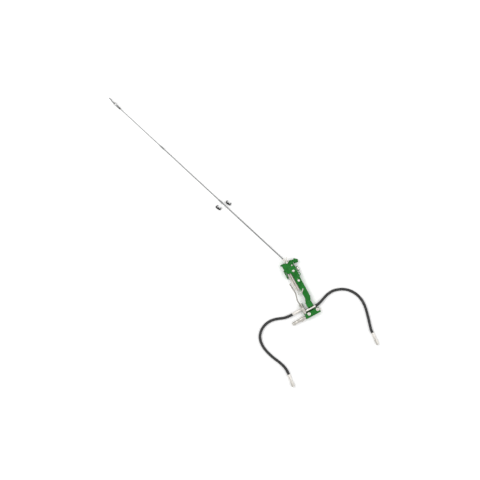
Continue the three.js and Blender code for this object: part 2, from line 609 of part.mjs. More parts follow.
// a loop that is longer along the mast than it stands out from it
const EYE_RADIUS = 7.5;
const EYE_WALL = 3.6;
const EYE_HALF_SPAN = 5.5;
const EYE_X = bracketX + EYE_RADIUS;
const EYE_Y = PIVOT.y - 110;
function longRound(radius, z0, z1) {
  const ends = [-1, 1].map((end) => post(EYE_X, EYE_Y + end * EYE_HALF_SPAN, z0, z1, radius));
  return union(...ends, box(EYE_X - radius, EYE_X + radius, EYE_Y - EYE_HALF_SPAN,
    EYE_Y + EYE_HALF_SPAN, z0, z1));
}
function hoseEye() {
  const half = EYE_HALF_SPAN + EYE_RADIUS;
  const root = box(bracketX, EYE_X, EYE_Y - half, EYE_Y + half, AXIS_Z - 4, AXIS_Z + 4);
  return cut(union(longRound(EYE_RADIUS, AXIS_Z - 4, AXIS_Z + 4), root),
    longRound(EYE_RADIUS - EYE_WALL, AXIS_Z - 5, AXIS_Z + 5));
}
add('hose_eye', hoseEye(), greenPaint);

// ---------- pole pivot ----------
const lean = THREE.MathUtils.degToRad(POLE_LEAN);
const alongPole = (distance) => [
  PIVOT.x - Math.sin(lean) * distance, PIVOT.y + Math.cos(lean) * distance, AXIS_Z,
];
const SOCKET_END = 36;
const SOCKET_RADIUS = LOWER_RADIUS + 2.8;
function poleKnuckle() {
  const low = AXIS_Z - HUB_THICKNESS / 2;
  const high = AXIS_Z + HUB_THICKNESS / 2;
  const hub = post(PIVOT.x, PIVOT.y, low, high, HUB_RADIUS, FINE_SIDES);
  const socket = rod(alongPole(6), alongPole(SOCKET_END), SOCKET_RADIUS);
  const armWidth = SPRING_PITCH_X / 2 - SPRING_WIRE_RADIUS - 1.5;
  const armHalf = 4;
  const arm = prism([
    [PIVOT.x - 12, PIVOT.y - 8], [SPRING_X - armWidth, SPRING_TOP_Y + 9],
    [SPRING_X - armWidth, SPRING_TOP_Y - 7], [SPRING_X + armWidth, SPRING_TOP_Y - 7],
    [SPRING_X + armWidth, SPRING_TOP_Y + 9], [PIVOT.x + 2, PIVOT.y - 13],
  ], AXIS_Z - armHalf - 2, AXIS_Z + armHalf + 2);
  const pivotHole = post(PIVOT.x, PIVOT.y, low - 1, high + 1, PIVOT_RADIUS + RUNNING);
  const bore = rod(alongPole(LOWER_START - GAP), alongPole(SOCKET_END + 1),
    LOWER_RADIUS + GAP);
  const springHole = rod([springXs[0], SPRING_TOP_Y, AXIS_Z], [springXs[1], SPRING_TOP_Y,
    AXIS_Z], SPRING_PIN_RADIUS + GAP, SMALL_SIDES);
  return cut(union(hub, socket, arm), pivotHole, bore, springHole);
}
add('pole_knuckle', poleKnuckle(), zinc);
add('spring_pin', rod([springXs[0] - 5, SPRING_TOP_Y, AXIS_Z], [springXs[1] + 5, SPRING_TOP_Y,
  AXIS_Z], SPRING_PIN_RADIUS, SMALL_SIDES), zinc);

const spacerLength = AXIS_Z - HUB_THICKNESS / 2 - MAST_LOW_Z - GAP;
const spacerStarts = [MAST_LOW_Z, MAST_HIGH_Z - spacerLength];
['lower', 'upper'].forEach((side, i) => {
  add(`pivot_spacer_${side}`, ring(9, PIVOT_RADIUS + RUNNING,
    [PIVOT.x, PIVOT.y, spacerStarts[i]], [0, 0, 1], spacerLength, SIDES), zinc);
});

const handleLowZ = FRONT_HIGH_Z + GAP;
const HANDLE_HUB_HEIGHT = 8;
function pivotBolt() {
  const capZ = handleLowZ + HANDLE_HUB_HEIGHT + GAP;
  const profile = [
    [0, GAP], [PIVOT_RADIUS, GAP], [PIVOT_RADIUS, capZ], [7, capZ], [7, capZ + 2], [6, capZ + 3],
    [0, capZ + 3],
  ];
  return turned(profile, [PIVOT.x, PIVOT.y, 0], [0, 0, 1], SIDES);
}
add('pivot_bolt', pivotBolt(), zinc);
function clampHandle() {
  const z = handleLowZ + HANDLE_HUB_HEIGHT / 2;
  const end = [PIVOT.x + 13, PIVOT.y + 29, z + 3];
  const hub = post(PIVOT.x, PIVOT.y, handleLowZ, handleLowZ + HANDLE_HUB_HEIGHT, 8.5);
  const arm = rod([PIVOT.x, PIVOT.y, z], end, 3.2, SMALL_SIDES, 3.6);
  const grip = solid(new THREE.SphereGeometry(5, 14, 10).translate(...end));
  const hole = post(PIVOT.x, PIVOT.y, handleLowZ - 1, z + 12, PIVOT_RADIUS + RUNNING);
  return cut(union(hub, arm, grip), hole);
}
add('clamp_handle', clampHandle(), zinc);

// ---------- telescopic pole, modelled along its own +Y from the pivot ----------
const pole = new THREE.Group();
pole.position.set(PIVOT.x, PIVOT.y, AXIS_Z);
pole.rotation.z = lean;
system.add(pole);

const MIDDLE_RADIUS = LOWER_RADIUS - WALL_TUBE - SLIDE_CLEARANCE;
const TOP_RADIUS = MIDDLE_RADIUS - WALL_TUBE - SLIDE_CLEARANCE;
const onPole = [0, 1, 0];
function poleTube(name, radius, start, end) {
  add(name, ring(radius, radius - WALL_TUBE, [0, start, 0], onPole, end - start, SIDES),
    aluminium, pole);
}
poleTube('pole_lower_tube', LOWER_RADIUS, LOWER_START, LOWER_END);
poleTube('pole_middle_tube', MIDDLE_RADIUS, MIDDLE_START, MIDDLE_END);
poleTube('pole_top_tube', TOP_RADIUS, TOP_START, TOP_END);

// A twist collar sits over the end of one tube and grips the next, thinner one.
function lockCollar(outerTube, innerTube, tubeEnd) {
  const start = tubeEnd - 12;
  const end = start + COLLAR_LENGTH;
  const shoulder = tubeEnd + GAP;
  const wide = outerTube + RUNNING;
  const narrow = innerTube + RUNNING;
  const body = outerTube + COLLAR_GROWTH;
  return turned([
    [wide, start], [body, start], [body + 0.6, start + 3], [body + 0.6, end - 12],
    [narrow + 1.6, end], [narrow, end], [narrow, shoulder], [wide, shoulder], [wide, start],
  ], [0, 0, 0], onPole, SIDES);
}
add('lock_collar_lower', lockCollar(LOWER_RADIUS, MIDDLE_RADIUS, LOWER_END), aluminium, pole);
add('lock_collar_upper', lockCollar(MIDDLE_RADIUS, TOP_RADIUS, MIDDLE_END), aluminium, pole);

const clevisStart = TOP_END - 8;
const CLEVIS_GAP = 4;
const CHEEK = 3;
const TIP_PIN_RADIUS = 2.5;
add('tip_jam_nut', cut(hexagon(7, clevisStart - 9, clevisStart - GAP),
  rod([0, clevisStart - 12, 0], [0, clevisStart + 2, 0], TOP_RADIUS + GAP)), darkSteel, pole);
function tipClevis() {
  const root = rod([0, clevisStart, 0], [0, TIP_PIVOT - 14, 0], 6.6);
  const cheeks = [-1, 1].map((side) => {
    const x = side * (CLEVIS_GAP + CHEEK / 2);
    return box(x - CHEEK / 2, x + CHEEK / 2, TIP_PIVOT - 22, TIP_PIVOT + 5, -5, 5);
  });
  const slot = box(-CLEVIS_GAP, CLEVIS_GAP, TIP_PIVOT - 20, TIP_PIVOT + 8, -8, 8);
  const bore = rod([0, clevisStart - 1, 0], [0, TOP_END + GAP, 0], TOP_RADIUS + GAP);
  const pinHole = rod([-10, TIP_PIVOT, 0], [10, TIP_PIVOT, 0], TIP_PIN_RADIUS + RUNNING,
    SMALL_SIDES);
  return cut(union(root, ...cheeks), slot, bore, pinHole);
}
add('tip_clevis', tipClevis(), aluminium, pole);
function tipAdapter() {
  const lugHalf = CLEVIS_GAP - GAP;
  const eye = rod([-lugHalf, TIP_PIVOT, 0], [lugHalf, TIP_PIVOT, 0], 5);
  const neck = box(-lugHalf + 0.4, lugHalf - 0.4, TIP_PIVOT, TIP_PIVOT + 14, -3.4, 3.4);
  const bend = swept([
    [0, TIP_PIVOT + 10, 0], [0.5, TIP_PIVOT + 20, 0], [3, TIP_PIVOT + 31, 0],
    [4, TIP_PIVOT + 41, 0], [4, TIP_END, 0],
  ], 4, SMALL_SIDES, 14);
  const hole = rod([-10, TIP_PIVOT, 0], [10, TIP_PIVOT, 0], TIP_PIN_RADIUS + RUNNING,
    SMALL_SIDES);
  return cut(union(eye, neck, bend), hole);
}
add('tip_adapter', tipAdapter(), aluminium, pole);
function wingScrew() {
  const seat = CLEVIS_GAP + CHEEK + GAP;
  const shank = rod([-14, TIP_PIVOT, 0], [seat + 2, TIP_PIVOT, 0], TIP_PIN_RADIUS, SMALL_SIDES);
  const head = rod([seat, TIP_PIVOT, 0], [seat + 4, TIP_PIVOT, 0], 4.5, SMALL_SIDES);
  const wings = box(seat + 1, seat + 6.5, TIP_PIVOT - 1.5, TIP_PIVOT + 1.5, -9, 9);
  return union(shank, head, wings);
}
add('wing_screw', wingScrew(), zinc, pole);

// ---------- hoses ----------
const hoseAxisZ = HOSE_RADIUS + 0.2;
const LEFT_HOSE_ROUTE = [
  [VALVE_LEFT - INLET_FERRULE_LENGTH - 4 - GAP, INLET_Y, LINE_Z], [-149, INLET_Y, LINE_Z],
  [-164, 58.8, 15.2], [-184, 61.2, 13], [-205, 66, 11.2], [-231, 76, hoseAxisZ], [-258, 85.5, hoseAxisZ],
  [-286, 91, hoseAxisZ], [-314, 91, hoseAxisZ], [-342, 85.5, hoseAxisZ],
  [-368, 74, hoseAxisZ], [-391, 57, hoseAxisZ], [-410, 34.5, hoseAxisZ],
  [-421, 8, hoseAxisZ], [-426, -20.5, hoseAxisZ], [-425.5, -49, hoseAxisZ],
  [-421, -77, hoseAxisZ], [-414, -104, hoseAxisZ], [-405, -130.5, hoseAxisZ],
  [-394, -157, hoseAxisZ], [-382.5, -182.5, hoseAxisZ], [-372, -208.5, hoseAxisZ],
  [-364.5, -235, 10.2], [-360.5, -263, 11.5], [-361, -286.6, FITTING_Z],
  LEFT_HOSE_END[0],
];
const RIGHT_HOSE_ROUTE = [
  [VALVE_RIGHT + OUTLET_FERRULE_LENGTH + GAP, OUTLET_Y, LINE_Z], [44, OUTLET_Y, LINE_Z],
  [60, 37, 15.2], [80, 42.8, 13], [105, 51.5, 11.2], [131, 60.5, hoseAxisZ], [159, 66.5, hoseAxisZ],
  [187.5, 67.5, hoseAxisZ], [215, 62, hoseAxisZ], [242, 52, hoseAxisZ],
  [267, 37.5, hoseAxisZ], [288.5, 19, hoseAxisZ], [306, -3, hoseAxisZ],
  [320, -27.5, hoseAxisZ], [330, -54, hoseAxisZ], [335.5, -82, hoseAxisZ],
  [336.5, -110, hoseAxisZ], [334, -138, hoseAxisZ], [329, -166, hoseAxisZ],
  [322.5, -193, hoseAxisZ], [315, -220.5, hoseAxisZ], [307.5, -247, 10.2],
  [300, -274, 11.2], [294.5, -293, 11.9], [292.4, -310, FITTING_Z],
  RIGHT_HOSE_END[0],
];

// The steel end of a hose, along its own +Y: crimped ferrule, stem and swivel nut.
function hoseEnd(side, [place, sideways]) {
  const group = new THREE.Group();
  group.position.set(...place);
  group.rotation.z = Math.atan2(-sideways, -Math.sqrt(1 - sideways ** 2));
  system.add(group);
  const stem = 6.8;
  const nutStart = 50;
  const seat = nutStart + 12;
  const nose = seat + GAP;
  const ferrule = turned([
    [0, GAP], [FERRULE_RADIUS, GAP], [FERRULE_RADIUS + 0.3, 2], [FERRULE_RADIUS + 0.3, 40],
    [8.5, 44], [stem, 44], [stem, nose], [8.4, nose], [5, nose + 8], [0, nose + 8],
  ], [0, 0, 0], [0, 1, 0]);
  add(`${side}_end_ferrule`, ferrule, zinc, group);
  const nut = cut(hexagon(FITTING_NUT_RADIUS, nutStart, FITTING_LENGTH),
    rod([0, nutStart - 1, 0], [0, FITTING_LENGTH + 1, 0], stem + RUNNING),
    rod([0, seat, 0], [0, FITTING_LENGTH + 1, 0], 8.8));
  add(`${side}_end_nut`, nut, steel, group);
}

add('left_hose', swept(LEFT_HOSE_ROUTE, HOSE_RADIUS, HOSE_SIDES, HOSE_STEPS), rubber);
add('right_hose', swept(RIGHT_HOSE_ROUTE, HOSE_RADIUS, HOSE_SIDES, HOSE_STEPS), rubber);
hoseEnd('left', LEFT_HOSE_END);
hoseEnd('right', RIGHT_HOSE_END);

// ---------- loose double clips that carry a thin supply hose along the pole ----------
const CLIP_LENGTH = 40;
const CLIP_BACK = 7;
const CLIP_REACH = 25;
const CLIP_MIDDLE_REACH = 13.5;
const CLIP_HEIGHT = 14;
const CLIP_GROOVE = 5.6;
const CLIP_GROOVE_Y = 9;
function hoseClip(name, x, y, degrees) {
  const half = CLIP_LENGTH / 2;
  const centre = CLIP_BACK + CLIP_GROOVE;
  const inner = CLIP_GROOVE_Y - CLIP_GROOVE;
  const outer = CLIP_GROOVE_Y + CLIP_GROOVE;
  const outline = new THREE.Shape();
  outline.moveTo(0, -half + 8);
  outline.quadraticCurveTo(1, -half, 9, -half);
  outline.quadraticCurveTo(18, -half + 0.5, CLIP_REACH, -outer + 1);
  outline.lineTo(CLIP_REACH - 3, -outer + 2);
  outline.lineTo(centre, -outer);
  outline.absarc(centre, -CLIP_GROOVE_Y, CLIP_GROOVE, -Math.PI / 2, Math.PI / 2, true);
  outline.lineTo(CLIP_MIDDLE_REACH, -inner);
  outline.lineTo(CLIP_MIDDLE_REACH, inner);
  outline.lineTo(centre, inner);
  outline.absarc(centre, CLIP_GROOVE_Y, CLIP_GROOVE, -Math.PI / 2, Math.PI / 2, true);
  outline.lineTo(CLIP_REACH - 3, outer - 2);
  outline.lineTo(CLIP_REACH, outer - 1);
  outline.quadraticCurveTo(18, half - 0.5, 9, half);
  outline.quadraticCurveTo(1, half, 0, half - 8);
  const mesh = add(name, prism(outline, 0, CLIP_HEIGHT), blackPlastic);
  mesh.position.set(x, y, 0);
  mesh.rotation.z = THREE.MathUtils.degToRad(degrees);
}
hoseClip('hose_clip_left', -245, 956.5, 25.5);
hoseClip('hose_clip_right', -168, 952.5, 25.5);

export default system;
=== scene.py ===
# A spring-balanced lance mast for washing tall glass, laid flat: green steel mast, valve,
# coupler, two short pressure hoses, a telescopic pole and two loose hose clips.
# Metres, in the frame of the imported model: +Y along the mast, +Z up.
import json
import math

import bmesh
import bpy
from mathutils import Matrix, Vector


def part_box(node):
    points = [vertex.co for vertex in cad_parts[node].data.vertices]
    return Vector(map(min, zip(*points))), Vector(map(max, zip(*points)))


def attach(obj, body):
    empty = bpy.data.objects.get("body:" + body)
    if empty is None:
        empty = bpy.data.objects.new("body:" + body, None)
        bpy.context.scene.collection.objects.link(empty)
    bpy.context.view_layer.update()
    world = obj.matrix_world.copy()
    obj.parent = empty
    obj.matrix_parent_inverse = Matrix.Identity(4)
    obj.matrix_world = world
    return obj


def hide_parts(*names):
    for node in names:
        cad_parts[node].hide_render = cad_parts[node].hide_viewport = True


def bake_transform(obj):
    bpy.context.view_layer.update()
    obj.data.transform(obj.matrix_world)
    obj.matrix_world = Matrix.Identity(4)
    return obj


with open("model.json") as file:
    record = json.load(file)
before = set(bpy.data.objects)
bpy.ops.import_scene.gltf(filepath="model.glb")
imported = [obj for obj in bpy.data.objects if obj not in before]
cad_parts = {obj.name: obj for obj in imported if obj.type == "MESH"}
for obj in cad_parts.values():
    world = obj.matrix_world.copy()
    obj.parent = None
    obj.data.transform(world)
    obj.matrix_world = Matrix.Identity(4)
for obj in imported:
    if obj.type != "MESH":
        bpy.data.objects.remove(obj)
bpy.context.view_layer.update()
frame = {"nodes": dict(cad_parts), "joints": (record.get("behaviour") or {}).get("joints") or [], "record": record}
nodes = frame["nodes"]

MM = 0.001
ROUND = 48  # sides of a turned piece
FINE_ROUND = 24

# ---------- camera, straight above the work surface ----------
CAMERA_ROLL = math.radians(-28.6)
VIEW_CENTRE = (-0.211, 0.691)
VIEW_WIDTH = 3.36
LENS = 180
SENSOR = 36


def make_camera():
    data = bpy.data.cameras.new("camera")
    data.lens = LENS
    data.sensor_width = SENSOR
    camera = bpy.data.objects.new("camera", data)
    bpy.context.scene.collection.objects.link(camera)
    camera.location = (*VIEW_CENTRE, VIEW_WIDTH * LENS / SENSOR)
    camera.rotation_euler = (0, 0, CAMERA_ROLL)
    data.clip_end = 100
    bpy.context.scene.camera = camera


make_camera()

# ---------- cords: the routes of the two hoses ----------
HOSE_RADIUS = 9.5 * MM
REST_Z = HOSE_RADIUS + 0.2 * MM
LINE_Z = 16 * MM
FITTING_Z = 12 * MM
INLET_Y = 0.058
OUTLET_Y = 0.0345
LEFT_HOSE_ROUTE = [
    (-0.1373, INLET_Y, LINE_Z), (-0.149, INLET_Y, LINE_Z), (-0.164, 0.0588, 0.0152),
    (-0.184, 0.0612, 0.013), (-0.205, 0.066, 0.0112), (-0.231, 0.076, REST_Z),
    (-0.258, 0.0855, REST_Z), (-0.286, 0.091, REST_Z), (-0.314, 0.091, REST_Z),
    (-0.342, 0.0855, REST_Z), (-0.368, 0.074, REST_Z), (-0.391, 0.057, REST_Z),
    (-0.410, 0.0345, REST_Z), (-0.421, 0.008, REST_Z), (-0.426, -0.0205, REST_Z),
    (-0.4255, -0.049, REST_Z), (-0.421, -0.077, REST_Z), (-0.414, -0.104, REST_Z),
    (-0.405, -0.1305, REST_Z), (-0.394, -0.157, REST_Z), (-0.3825, -0.1825, REST_Z),
    (-0.372, -0.2085, REST_Z), (-0.3645, -0.235, 0.0102), (-0.3605, -0.263, 0.0115),
    (-0.361, -0.2866, FITTING_Z), (-0.3625, -0.2985, FITTING_Z),
]
RIGHT_HOSE_ROUTE = [
    (0.0323, OUTLET_Y, LINE_Z), (0.044, OUTLET_Y, LINE_Z), (0.060, 0.037, 0.0152),
    (0.080, 0.0428, 0.013), (0.105, 0.0515, 0.0112), (0.131, 0.0605, REST_Z),
    (0.159, 0.0665, REST_Z), (0.1875, 0.0675, REST_Z), (0.215, 0.062, REST_Z),
    (0.242, 0.052, REST_Z), (0.267, 0.0375, REST_Z), (0.2885, 0.019, REST_Z),
    (0.306, -0.003, REST_Z), (0.320, -0.0275, REST_Z), (0.330, -0.054, REST_Z),
    (0.3355, -0.082, REST_Z), (0.3365, -0.110, REST_Z), (0.334, -0.138, REST_Z),
    (0.329, -0.166, REST_Z), (0.3225, -0.193, REST_Z), (0.315, -0.2205, REST_Z),
    (0.3075, -0.247, 0.0102), (0.300, -0.274, 0.0112), (0.2945, -0.293, 0.0119),
    (0.2924, -0.310, FITTING_Z), (0.2917, -0.322, FITTING_Z),
]


def smooth_route(points, steps=8):
    """Points on a smooth curve through the route's own points."""
    ends = [2 * Vector(points[0]) - Vector(points[1]), *map(Vector, points)]
    ends.append(2 * ends[-1] - ends[-2])
    route = []
    for before, here, there, after in zip(ends, ends[1:], ends[2:], ends[3:]):
        for step in range(steps):
            t = step / steps
            route.append(0.5 * (
                2 * here + (there - before) * t
                + (2 * before - 5 * here + 4 * there - after) * t * t
                + (3 * here - before - 3 * there + after) * t ** 3
            ))
    return [*route, ends[-2]]


def tube_along(name, route, radius, sides=FINE_ROUND):
    """A capped round tube that follows a route, with u round it and v along it in metres."""
    mesh = bpy.data.meshes.new(name)
    bm = bmesh.new()
    layer = bm.loops.layers.uv.new("along")
    side = Vector((0, 0, 1)).cross(route[1] - route[0]).normalized()
    rings, reach = [], [0.0]
    for i, point in enumerate(route):
        ahead = (route[min(i + 1, len(route) - 1)] - route[max(i - 1, 0)]).normalized()
        side = (side - ahead * side.dot(ahead)).normalized()
        up = ahead.cross(side)
        if i:
            reach.append(reach[-1] + (point - route[i - 1]).length)
        rings.append([bm.verts.new(point + radius * (
            math.cos(a) * side + math.sin(a) * up))
            for a in (2 * math.pi * k / sides for k in range(sides))])
    for i in range(len(rings) - 1):
        for k in range(sides):
            after = (k + 1) % sides
            face = bm.faces.new((rings[i][k], rings[i][after], rings[i + 1][after],
                                 rings[i + 1][k]))
            for loop, (u, v) in zip(face.loops, (
                    (k, i), (k + 1, i), (k + 1, i + 1), (k, i + 1))):
                loop[layer].uv = (u / sides * 2 * math.pi * radius, reach[v])
            face.smooth = True
    bm.faces.new(reversed(rings[0]))
    bm.faces.new(rings[-1])
    bmesh.ops.recalc_face_normals(bm, faces=bm.faces)
    bm.to_mesh(mesh)
    bm.free()
    piece = bpy.data.objects.new(name, mesh)
    bpy.context.scene.collection.objects.link(piece)
    return piece


def make_hose(side, points):
    route = smooth_route(points)
    hose = tube_along(f"{side}_hose_cover", route, HOSE_RADIUS, sides=32)
    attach(hose, "root")
    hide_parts(f"{side}_hose")
    return hose, route


hoses = {
    "left": make_hose("left", LEFT_HOSE_ROUTE),
    "right": make_hose("right", RIGHT_HOSE_ROUTE),
}

# ---------- shared surface effects, as node groups ----------


def new_group(name, inputs, outputs):
    group = bpy.data.node_groups.new(name, "ShaderNodeTree")
    for label, kind, value in inputs:
        socket = group.interface.new_socket(label, in_out="INPUT", socket_type=kind)
        if value is not None:
            socket.default_value = value
    for label, kind in outputs:
        group.interface.new_socket(label, in_out="OUTPUT", socket_type=kind)
    start = group.nodes.new("NodeGroupInput")
    end = group.nodes.new("NodeGroupOutput")
    return group, start.outputs, end.inputs


def math_node(tree, operation, a, b=None):
    node = tree.nodes.new("ShaderNodeMath")
    node.operation = operation
    for socket, value in zip(node.inputs, (a, b)):
        if isinstance(value, (int, float)):
            socket.default_value = value
        elif value is not None:
            tree.links.new(value, socket)
    return node.outputs[0]


def object_noise(tree, scale, detail=4.0, roughness=0.55, stretch=None):
    """Noise on the piece's own coordinates; scale may be a number or a socket."""
    place = tree.nodes.new("ShaderNodeTexCoord").outputs["Object"]
    if stretch is not None:
        mapping = tree.nodes.new("ShaderNodeMapping")
        mapping.vector_type = "POINT"
        tree.links.new(place, mapping.inputs["Vector"])
        tree.links.new(stretch, mapping.inputs["Scale"])
        place = mapping.outputs[0]
    noise = tree.nodes.new("ShaderNodeTexNoise")
    noise.inputs["Detail"].default_value = detail
    noise.inputs["Roughness"].default_value = roughness
    tree.links.new(place, noise.inputs["Vector"])
    if isinstance(scale, (int, float)):
        noise.inputs["Scale"].default_value = scale
    else:
        tree.links.new(scale, noise.inputs["Scale"])
    return noise.outputs["Fac"]


def ramp(tree, value, low, high):
    node = tree.nodes.new("ShaderNodeMapRange")
    node.interpolation_type = "SMOOTHSTEP"
    node.inputs["From Min"].default_value = low
    node.inputs["From Max"].default_value = high
    tree.links.new(value, node.inputs["Value"])
    return node.outputs["Result"]


def make_grain_group():
    """Fine directional grain: a height, and a slow variation of tone."""
    group, given, out = new_group(
        "metal_grain",
        [("Scale", "NodeSocketFloat", 900.0), ("Stretch", "NodeSocketVector", (1, 1, 1))],
        [("Height", "NodeSocketFloat"), ("Tone", "NodeSocketFloat")])
    fine = object_noise(group, given["Scale"], 5, 0.6, given["Stretch"])
    slow = object_noise(group, 38.0, 3, 0.5)
    group.links.new(fine, out["Height"])
    mixed = math_node(group, "ADD", math_node(group, "MULTIPLY", fine, 0.5),
                      math_node(group, "MULTIPLY", slow, 0.5))
    group.links.new(mixed, out["Tone"])
    return group


def make_wear_group():
    """Handling wear: scattered rubs and chips, and fine dust in patches."""
    group, given, out = new_group(
        "handling_wear",
        [("Chip Scale", "NodeSocketFloat", 160.0), ("Chip Amount", "NodeSocketFloat", 0.5),
         ("Dust Scale", "NodeSocketFloat", 14.0)],
        [("Chips", "NodeSocketFloat"), ("Dust", "NodeSocketFloat")])
    chips = object_noise(group, given["Chip Scale"], 6, 0.68)
    patches = object_noise(group, given["Dust Scale"], 4, 0.6)
    both = math_node(group, "ADD", math_node(group, "MULTIPLY", chips, 0.7),
                     math_node(group, "MULTIPLY", patches, 0.3))
    above = math_node(group, "SUBTRACT", both, 0.6)
    sharp = math_node(group, "MULTIPLY", above, 24.0)
    node = group.nodes.new("ShaderNodeClamp")
    group.links.new(sharp, node.inputs["Value"])
    group.links.new(math_node(group, "MULTIPLY", node.outputs[0], given["Chip Amount"]),
                    out["Chips"])
    group.links.new(ramp(group, patches, 0.42, 0.72), out["Dust"])
    return group


grain_group = make_grain_group()
wear_group = make_wear_group()


# ---------- materials ----------
def to_linear(hex_colour):
    channels = [int(hex_colour[i:i + 2], 16) / 255 for i in (0, 2, 4)]
    return (*[c / 12.92 if c <= 0.04045 else ((c + 0.055) / 1.055) ** 2.4
              for c in channels], 1.0)


def new_material(name):
    material = bpy.data.materials.new(name)
    material.use_nodes = True
    return material, material.node_tree, material.node_tree.nodes["Principled BSDF"]


def place_group(tree, group, **values):
    node = tree.nodes.new("ShaderNodeGroup")
    node.node_tree = group
    for label, value in values.items():
        node.inputs[label.replace("_", " ")].default_value = value
    return node.outputs


def mix_colour(tree, factor, first, second):
    node = tree.nodes.new("ShaderNodeMix")
    node.data_type = "RGBA"
    tree.links.new(factor, node.inputs["Factor"])
    for socket, value in ((node.inputs[6], first), (node.inputs[7], second)):
        if isinstance(value, tuple):
            socket.default_value = value
        else:
            tree.links.new(value, socket)
    return node.outputs[2]


def add_bump(tree, shader, height, distance, strength=1.0):
    bump = tree.nodes.new("ShaderNodeBump")
    bump.inputs["Distance"].default_value = distance
    bump.inputs["Strength"].default_value = strength
    tree.links.new(height, bump.inputs["Height"])
    tree.links.new(bump.outputs[0], shader.inputs["Normal"])


def roughness_between(tree, shader, value, low, high):
    node = tree.nodes.new("ShaderNodeMapRange")
    node.inputs["To Min"].default_value = low
    node.inputs["To Max"].default_value = high
    tree.links.new(value, node.inputs["Value"])
    tree.links.new(node.outputs["Result"], shader.inputs["Roughness"])


def paint_material(name, colour, shade, chip):
    """Powder coat with a slight orange peel, rubbed spots and thin dust."""
    material, tree, shader = new_material(name)
    wear = place_group(tree, wear_group, Chip_Scale=210.0, Chip_Amount=0.8, Dust_Scale=18.0)
    tone = object_noise(tree, 26.0, 3)
    paint = mix_colour(tree, ramp(tree, tone, 0.3, 0.7), to_linear(shade), to_linear(colour))
    chipped = mix_colour(tree, wear["Chips"], paint, to_linear(chip))
    tree.links.new(chipped, shader.inputs["Base Color"])
    roughness_between(tree, shader, wear["Dust"], 0.3, 0.46)
    add_bump(tree, shader, object_noise(tree, 620.0, 2, 0.4), 0.00012, 0.5)
    shader.inputs["Specular IOR Level"].default_value = 0.22
    return material


def metal_material(name, bright, dull, rough, stretch, metallic=1.0, scale=700.0,
                   bump=0.00003):
    """Worked metal with grain along one direction."""
    material, tree, shader = new_material(name)
    grain = place_group(tree, grain_group, Scale=scale, Stretch=stretch)
    tree.links.new(
        mix_colour(tree, ramp(tree, grain["Tone"], 0.34, 0.66), to_linear(dull),
                   to_linear(bright)), shader.inputs["Base Color"])
    shader.inputs["Metallic"].default_value = metallic
    roughness_between(tree, shader, grain["Tone"], rough[0], rough[1])
    add_bump(tree, shader, grain["Height"], bump, 0.6)
    return material


def rubber_material():
    """Smooth hose cover with faint wrapped-cloth marks, read on the hose's own uv."""
    material, tree, shader = new_material("hose_rubber")
    along = tree.nodes.new("ShaderNodeUVMap")
    along.uv_map = "along"
    wave = tree.nodes.new("ShaderNodeTexWave")
    wave.bands_direction = "DIAGONAL"
    wave.inputs["Scale"].default_value = 150.0
    wave.inputs["Distortion"].default_value = 1.5
    tree.links.new(along.outputs[0], wave.inputs["Vector"])
    tone = object_noise(tree, 60.0, 4)
    tree.links.new(mix_colour(tree, ramp(tree, tone, 0.3, 0.75), to_linear("242424"),
                              to_linear("343434")), shader.inputs["Base Color"])
    roughness_between(tree, shader, tone, 0.42, 0.62)
    add_bump(tree, shader, wave.outputs["Fac"], 0.00015, 0.5)
    shader.inputs["Specular IOR Level"].default_value = 0.3
    return material


def plastic_material():
    material, tree, shader = new_material("clip_nylon")
    tone = object_noise(tree, 420.0, 3)
    tree.links.new(mix_colour(tree, tone, to_linear("040404"), to_linear("0c0c0c")),
                   shader.inputs["Base Color"])
    roughness_between(tree, shader, tone, 0.38, 0.56)
    add_bump(tree, shader, tone, 0.00008, 0.6)
    shader.inputs["Specular IOR Level"].default_value = 0.12
    return material


EVEN = (1.0, 1.0, 1.0)
ALONG_Y = (1.0, 0.06, 1.0)
ALONG_X = (0.06, 1.0, 1.0)
finishes = {
    "green_paint": paint_material("green_powder_coat", "136f20", "0b5c16", "6f8a70"),
    "zinc": metal_material("bright_zinc", "e6e2dd", "cdc9c3", (0.26, 0.42), EVEN,
                           metallic=0.85, scale=240.0),
    "steel": metal_material("turned_steel", "cdcac4", "b4b0a9", (0.28, 0.44), ALONG_X,
                            metallic=0.9),
    "dark_steel": metal_material("blackened_steel", "5c5b56", "434240", (0.36, 0.55), EVEN,
                                 metallic=0.8),
    "spring_steel": metal_material("spring_wire", "f0ebe5", "dcd6cf", (0.3, 0.45), EVEN,
                                   metallic=0.7),
    "aluminium": metal_material("drawn_aluminium", "8f9090", "7a7b7b", (0.3, 0.45),
                                ALONG_Y, metallic=0.95),
    "rubber": rubber_material(),
    "black_plastic": plastic_material(),
}
lever_steel = metal_material("lever_steel", "aaa6a0", "8f8b85", (0.3, 0.46), ALONG_Y,
                             metallic=0.9)
node_slots = {part["node"]: part["material_slot"] for part in frame["record"]["subparts"]}


def dress(piece, slot, material=None):
    piece.data.materials.clear()
    piece.data.materials.append(material or finishes[slot])


for node_name, node in nodes.items():
    dress(node, node_slots[node_name])
for hose, _ in hoses.values():
    dress(hose, "rubber")

# ---------- modelling helpers ----------
joints = {joint["name"]: joint for joint in frame["joints"]}
body_of_node = {name: body for body, members in
                frame["record"]["behaviour"]["bodies"].items() for name in members}
Z_AXIS = Vector((0, 0, 1))


def corners(node_name):
    low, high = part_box(node_name)
    return Vector(low), Vector(high)


def middle(node_name):
    low, high = corners(node_name)
    return (low + high) / 2


def edit(piece):
    bpy.ops.object.select_all(action="DESELECT")
    bpy.context.view_layer.objects.active = piece
    piece.select_set(True)
    bpy.ops.object.mode_set(mode="EDIT")
    bpy.ops.mesh.select_mode(type="FACE")


def leave_edit():
    bpy.ops.object.mode_set(mode="OBJECT")


